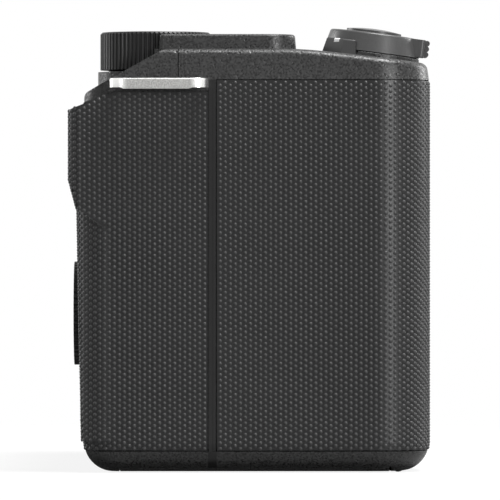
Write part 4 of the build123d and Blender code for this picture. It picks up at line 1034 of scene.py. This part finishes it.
class Facing(Enum):
    """Where a mark faces: its own ways right, up and outward in the shared frame."""

    rear = ((-1.0, 0.0, 0.0), (0.0, 0.0, 1.0), (0.0, 1.0, 0.0))
    front = ((1.0, 0.0, 0.0), (0.0, 0.0, 1.0), (0.0, -1.0, 0.0))
    top = ((-1.0, 0.0, 0.0), (0.0, -1.0, 0.0), (0.0, 0.0, 1.0))

    def matrix(self, centre: Vector) -> Matrix:
        """Takes a flat mark's own axes to this side of the body, at a place in metres."""
        turn = Matrix(self.value).transposed().to_4x4()
        return Matrix.Translation(centre) @ turn


# Corners of the signs, as (right, up) in multiples of a mark's size
PLAY = ((-0.5, -0.6), (0.6, 0.0), (-0.5, 0.6))
BIN = ((-0.4, -0.7), (0.4, -0.7), (0.5, 0.3), (0.7, 0.3), (0.7, 0.45), (0.2, 0.45), (0.2, 0.6))
BIN += tuple((-x, y) for x, y in reversed(BIN[2:]))
DISC = tuple((math.cos(a), math.sin(a)) for a in np.linspace(0, 2 * math.pi, 24, endpoint=False))
PLANE = ((-1.6, -0.08), (1.6, -0.08), (1.6, 0.08), (-1.6, 0.08))


@dataclass(frozen=True)
class Mark:
    """A printed sign on a node: letters, or the corners of a flat shape.

    Its size is the height of a capital, whose type is em times larger, or the shape's scale.
    Its centre lies off the face by less than reach_mm, and it stands out by thick_mm.
    """

    name: str
    node: str
    sign: Union[str, tuple[Pair, ...]]
    centre: Triple
    facing: Facing
    size: float
    thick_mm: float = 0.02
    reach_mm: float = 3.0
    em: float = 1.4
    curve_steps: int = 4
    merge_m: float = 1e-6

    def flat(self) -> bpy.types.Mesh:
        """Makes the sign flat.

        Returns:
            The sign as a mesh about its own middle, in metres.
        """
        scale = self.size * MM
        if isinstance(self.sign, str):
            letters = bpy.data.curves.new(self.name, "FONT")
            letters.body = self.sign
            letters.align_x = "CENTER"
            letters.align_y = "CENTER"
            letters.size = scale * self.em
            letters.resolution_u = self.curve_steps
            holder = placed(self.name, letters)
            graph = bpy.context.evaluated_depsgraph_get()
            mesh = bpy.data.meshes.new_from_object(holder.evaluated_get(graph))
            bpy.data.objects.remove(holder)
            return mesh
        mesh = bpy.data.meshes.new(self.name)
        corners = [(x * scale, y * scale, 0.0) for x, y in self.sign]
        mesh.from_pydata(corners, [], [list(range(len(corners)))])
        return mesh

    def add(self, frame: dict[str, Any], material: Material, slot: str) -> None:
        """Lays the sign on its node's surface as a thin plate, and lets it ride there.

        Each corner goes straight back along the mark's way out to the surface, and then
        out again by thick_mm, or in by as much for the plate's underside.

        Args:
            frame: the loaded frame.
            material: the ink.
            slot: the record's material slot; not used.
        """
        node = frame["nodes"][self.node]
        mesh = self.flat()
        mesh.transform(self.facing.matrix(Vector(self.centre) * MM))
        out = Vector(self.facing.value[2])
        reach = self.reach_mm * MM
        thick = self.thick_mm * MM
        work = bmesh.new()
        work.from_mesh(mesh)
        bmesh.ops.remove_doubles(work, verts=work.verts, dist=self.merge_m)
        corners = [vert.co for vert in node.data.vertices]
        faces = [list(face.vertices) for face in node.data.polygons]
        around = BVHTree.FromPolygons(corners, faces)
        for vert in work.verts:
            hit = around.ray_cast(vert.co + out * reach, -out, 2 * reach)[0]
            if hit is None:
                raise ValueError(f"{self.name} has no surface behind it at {tuple(vert.co / MM)}")
            vert.co = hit + out * thick
        grown = bmesh.ops.extrude_face_region(work, geom=list(work.faces))
        for vert in (item for item in grown["geom"] if isinstance(item, bmesh.types.BMVert)):
            vert.co -= out * 2 * thick
        bmesh.ops.recalc_face_normals(work, faces=work.faces)
        work.to_mesh(mesh)
        work.free()
        mesh.materials.clear()
        mesh.materials.append(material)
        made = placed(self.name, mesh)
        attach(made, node["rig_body"])
        log.info("%s is on %s", self.name, self.node)


# The body


class Palette(Enum):
    """The finishes, by the record's material slots, most with colour and roughness first."""

    cover_plastic = CoverPlastic(
        grey(38), 0.36, depth_mm=0.03, pits=0.6, speckle=0.7, specular=0.36
    )
    # Darker than the dots' rubber, so that it reads as painted shade between the dots
    grip_rubber = GripRubber((0.015, 0.015, 0.0153))
    screw_steel = Brushed(grey(95), 0.35)
    mount_steel = Turned(grey(212), centre=LENS_AXIS)
    bezel_paint = Moulded(grey(40), 0.38, grain_mm=0.25, depth_mm=0.012)
    inner_plastic = Moulded(grey(26), 0.65)
    contact_gold = Brushed(rgb(232, 196, 112), 0.22)
    lever_satin = Moulded(
        grey(60), 0.36, grain_mm=0.16, depth_mm=0.006, speckle=0.12, specular=0.45
    )
    button_plastic = Moulded(grey(40), 0.4, grain_mm=0.22, depth_mm=0.01)
    dial_plastic = Moulded(grey(26), 0.4, grain_mm=0.2, depth_mm=0.012, speckle=0.1, specular=0.3)
    lock_steel = Brushed(grey(205), 0.25)
    filter_glass = FilterGlass(sheens=(rgb(170, 205, 190), rgb(190, 160, 200)))
    sensor_silicon = SensorChip(
        centre=LENS_AXIS,
        bands=(
            (0.0, rgb(52, 40, 66)), (0.3, rgb(40, 66, 84)), (0.55, rgb(58, 92, 74)),
            (0.8, rgb(96, 74, 58)), (1.0, rgb(60, 44, 70)),
        ),
    )
    carrier_metal = Brushed(grey(168), 0.42, along=(1.0, 1.0, 0.2))
    board_green = CircuitBoard(
        mask=rgb(14, 62, 36), track=rgb(26, 92, 52), joint=rgb(190, 190, 180)
    )
    battery_case = WrappedCell(case=grey(52), band=grey(96))
    catch_plastic = Moulded(rgb(214, 110, 30), 0.45, grain_mm=0.25, depth_mm=0.01)
    socket_metal = Brushed(grey(188), 0.32)
    card_plastic = Moulded(rgb(34, 44, 78), 0.35, depth_mm=0.006)
    shoe_metal = Brushed(grey(58), 0.46, along=(1.0, 0.15, 1.0))
    grille_metal = Moulded(grey(34), 0.4, grain_mm=0.2, depth_mm=0.01)
    lug_nickel = LugMetal(polished=rgb(245, 245, 243), frosted=rgb(158, 158, 156))
    lamp_lens = DarkGlass(rgb(70, 20, 12))
    display_glass = DarkGlass(grey(14))


@dataclass
class CameraBody:
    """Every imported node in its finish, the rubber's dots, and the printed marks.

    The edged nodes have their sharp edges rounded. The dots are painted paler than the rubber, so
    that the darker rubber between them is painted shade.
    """

    frame: dict[str, Any]
    edge_mm: float = 0.1
    edged: tuple[str, ...] = (
        "front_cover", "rear_cover", "top_cover", "bottom_cover", "battery_door",
        "card_door", "terminal_door", "monitor_frame", "monitor_arm",
    )
    # Paler rubber for the dots: against the darker rubber between them this is painted shade
    dots_paler_as_painted_shade: Finish = GripRubber((0.036, 0.036, 0.0365))
    white_ink: Finish = Moulded(grey(225), 0.5, grain_mm=0.1, depth_mm=0.002, speckle=0.06)
    red_ink: Finish = Moulded(rgb(150, 22, 18), 0.45, grain_mm=0.1, depth_mm=0.002, speckle=0.06)
    lever_index: Finish = IndexMarked(
        grey(44), line=grey(238), centre=(-43.0, -18.4), angle_deg=138.4,
        inner_mm=7.6, low_z=64.8, half_width_mm=0.55,
    )
    white_marks: tuple[Mark, ...] = (
        Mark("mark_menu", "rear_cover", "MENU", (-27.5, 24.85, 54.2), Facing.rear, 1.4),
        Mark("mark_fn", "rear_cover", "Fn", (-27.5, 24.85, 41.1), Facing.rear, 1.5),
        Mark("mark_play", "playback_button", PLAY, (-31.0, 25.1, 8.6), Facing.rear, 1.0),
        Mark("mark_bin", "delete_button", BIN, (-45.0, 25.1, 8.6), Facing.rear, 1.0),
        Mark("mark_ok", "centre_button", "OK", (-38.0, 26.0, 23.8), Facing.rear, 1.4),
        Mark("mark_off", "top_cover", "OFF", (-51.6, -10.6, 63.4), Facing.top, 1.4),
        Mark("mark_on", "top_cover", "ON", (-46.2, -8.9, 63.5), Facing.top, 1.4),
        Mark("mark_tele", "zoom_lever", "T", (-47.2, -15.2, 67.0), Facing.top, 1.2),
        Mark("mark_wide", "zoom_lever", "W", (-38.8, -15.2, 67.0), Facing.top, 1.2),
        Mark("mark_plane_line", "top_cover", PLANE, (-22.5, 0.0, 63.6), Facing.top, 1.0),
        Mark("mark_plane_dot", "top_cover", DISC, (-22.5, 0.0, 63.6), Facing.top, 0.6),
        Mark("mark_lens_index", "mount_bezel", DISC, (7.0, -18.0, 59.3), Facing.front, 0.6),
    )
    movie_mark: Mark = Mark(
        "mark_movie", "movie_button", DISC, (-31.5, -9.5, 63.4), Facing.top, 0.9
    )

    def build(self) -> None:
        """Makes the finishes, the shells, the dots and the marks."""
        finishes = {entry.name: entry.value.build(entry.name) for entry in Palette}
        index = self.lever_index.build("lever_index")
        shells = Shells(self.frame)
        dots = GripDots()
        for node, slot in shells.slots.items():
            material = index if node == "power_lever" else finishes[slot]
            bevel = self.edge_mm if node in self.edged else 0.0
            shells.add(node, material, bevel, dots.height if slot == "grip_rubber" else 0.0)
        # The dots' paler finish, against the darker rubber, paints shade between the dots
        dots_paler_as_painted_shade = self.dots_paler_as_painted_shade.build("grip_rubber_worn")
        dots.front(dots_paler_as_painted_shade)
        dots.rear(dots_paler_as_painted_shade)
        white = self.white_ink.build("mark_white")
        for mark in self.white_marks:
            mark.add(self.frame, white, shells.slots[mark.node])
        red = self.red_ink.build("mark_red")
        self.movie_mark.add(self.frame, red, shells.slots[self.movie_mark.node])


# The studio


@dataclass(frozen=True)
class Softbox:
    """A rectangular lamp that faces its aim on the body, with lengths in metres."""

    name: str
    place: Triple
    width: float
    height: float
    watts: float
    aim: Triple = (-0.03, 0.0, 0.035)

    def add(self) -> None:
        """Adds the lamp to the scene."""
        lamp = bpy.data.lights.new(self.name, "AREA")
        lamp.shape = "RECTANGLE"
        lamp.size = self.width
        lamp.size_y = self.height
        lamp.energy = self.watts
        holder = placed(self.name, lamp)
        away = Vector(self.place) - Vector(self.aim)
        holder.location = self.place
        holder.rotation_euler = away.to_track_quat("Z", "Y").to_euler()


@dataclass
class Studio:
    """Floor, world, lamps and the camera at the photograph's place.

    Lengths are in metres where no unit is named. The floor's tone is cloth, swung by
    cloth_swing, and its own light is seen up to shadow_mm and fades to shadow_fade times that.
    """

    distance: float = 1.15
    side_x: float = -0.0574
    view_width: float = 0.07485
    centre_y: float = -0.0001
    centre_z: float = 0.0334
    sensor_mm: float = 36.0
    clip: Pair = (0.05, 20.0)
    ambient: float = 0.045
    cloth: float = 0.4
    cloth_swing: float = 0.06
    cloth_cell_mm: float = 4.0
    floor_reach: float = 3.0
    shadow_share: float = 0.3
    shadow_mm: float = 90.0
    shadow_fade: float = 3.0
    lamps: tuple[Softbox, ...] = (
        Softbox("top_box", (-0.14, -0.26, 0.86), 0.44, 0.44, 14.0),
        Softbox("key_box", (-0.8, -0.58, 0.16), 0.2, 0.4, 5.0),
        Softbox("fill_box", (-0.93, 0.42, 0.16), 0.05, 0.4, 0.6),
        Softbox("far_front_box", (0.55, -0.75, 0.3), 0.3, 0.4, 3.0),
        Softbox("far_rear_box", (0.5, 0.85, 0.3), 0.3, 0.4, 3.0),
    )

    def camera(self) -> None:
        """A long lens on the grip side, level, looking along +X."""
        lens = bpy.data.cameras.new("photo_camera")
        lens.sensor_width = self.sensor_mm
        lens.lens = self.sensor_mm * self.distance / self.view_width
        lens.clip_start, lens.clip_end = self.clip
        holder = placed("photo_camera", lens)
        holder.location = (self.side_x - self.distance, self.centre_y, self.centre_z)
        holder.rotation_euler = (math.pi / 2, 0.0, -math.pi / 2)
        bpy.context.scene.camera = holder

    @staticmethod
    def seen(tree: Tree, *kinds: str) -> Wire:
        """1 for rays of any of these kinds, otherwise 0."""
        rays = [tree.node("ShaderNodeLightPath", output=f"Is {kind} Ray") for kind in kinds]
        return reduce(lambda found, ray: found.maths("MAXIMUM", ray), rays)

    def floor(self) -> None:
        """A pale floor under the body, white to the camera but for the body's shadow.

        Near the body a share of what is seen is the cloth's own light, so that it shows the
        shadow, and the glow makes up the rest: glow = (1 - share * cloth) / (1 - share).
        """
        reach = self.floor_reach
        low = self.cloth * (1 - self.cloth_swing / 2)
        high = self.cloth * (1 + self.cloth_swing / 2)
        tree = Tree.material("floor_white")
        pale = tree.mix(tree.noise(self.cloth_cell_mm), (low,) * 3, (high,) * 3)
        cloth = tree.node("ShaderNodeBsdfDiffuse", None, [pale])
        x, y, _ = tree.axes()
        far = (x**2.0 + y**2.0) ** 0.5
        gone = self.shadow_fade * self.shadow_mm
        share = far.ramp(self.shadow_mm, gone, self.shadow_share, 0.0)
        strength = (1 - share * self.cloth) / (1 - share)
        glow = tree.node("ShaderNodeEmission", None, {"Color": WHITE, "Strength": strength})
        seen = self.seen(tree, "Camera", "Transmission") * (1 - share)
        tree.end(tree.node("ShaderNodeMixShader", None, [seen, cloth, glow]))
        corners = [(-reach, -reach, 0), (reach, -reach, 0), (reach, reach, 0), (-reach, reach, 0)]
        points = np.array(corners)
        new_piece("floor", points, [[0, 1, 2, 3]], tree.owner, smooth=False)

    def world(self) -> None:
        """A white surround at the ambient strength, and at 1 where it is seen."""
        world = bpy.data.worlds.new("studio")
        bpy.context.scene.world = world
        tree = Tree(world)
        seen = self.seen(tree, "Camera", "Glossy", "Transmission")
        strength = self.ambient + seen * (1 - self.ambient)
        back = {"Color": WHITE, "Strength": strength}
        tree.end(tree.node("ShaderNodeBackground", None, back))

    def build(self) -> None:
        """Makes the camera, the floor, the world and the lamps."""
        self.camera()
        self.floor()
        self.world()
        for lamp in self.lamps:
            lamp.add()


def main() -> None:
    """Builds the studio and the body."""
    logging.basicConfig(level=logging.INFO, format="%(message)s")
    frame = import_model()
    Studio().build()
    CameraBody(frame).build()
    bpy.context.scene.view_settings.view_transform = "Standard"


if __name__ == "__main__":
    main()
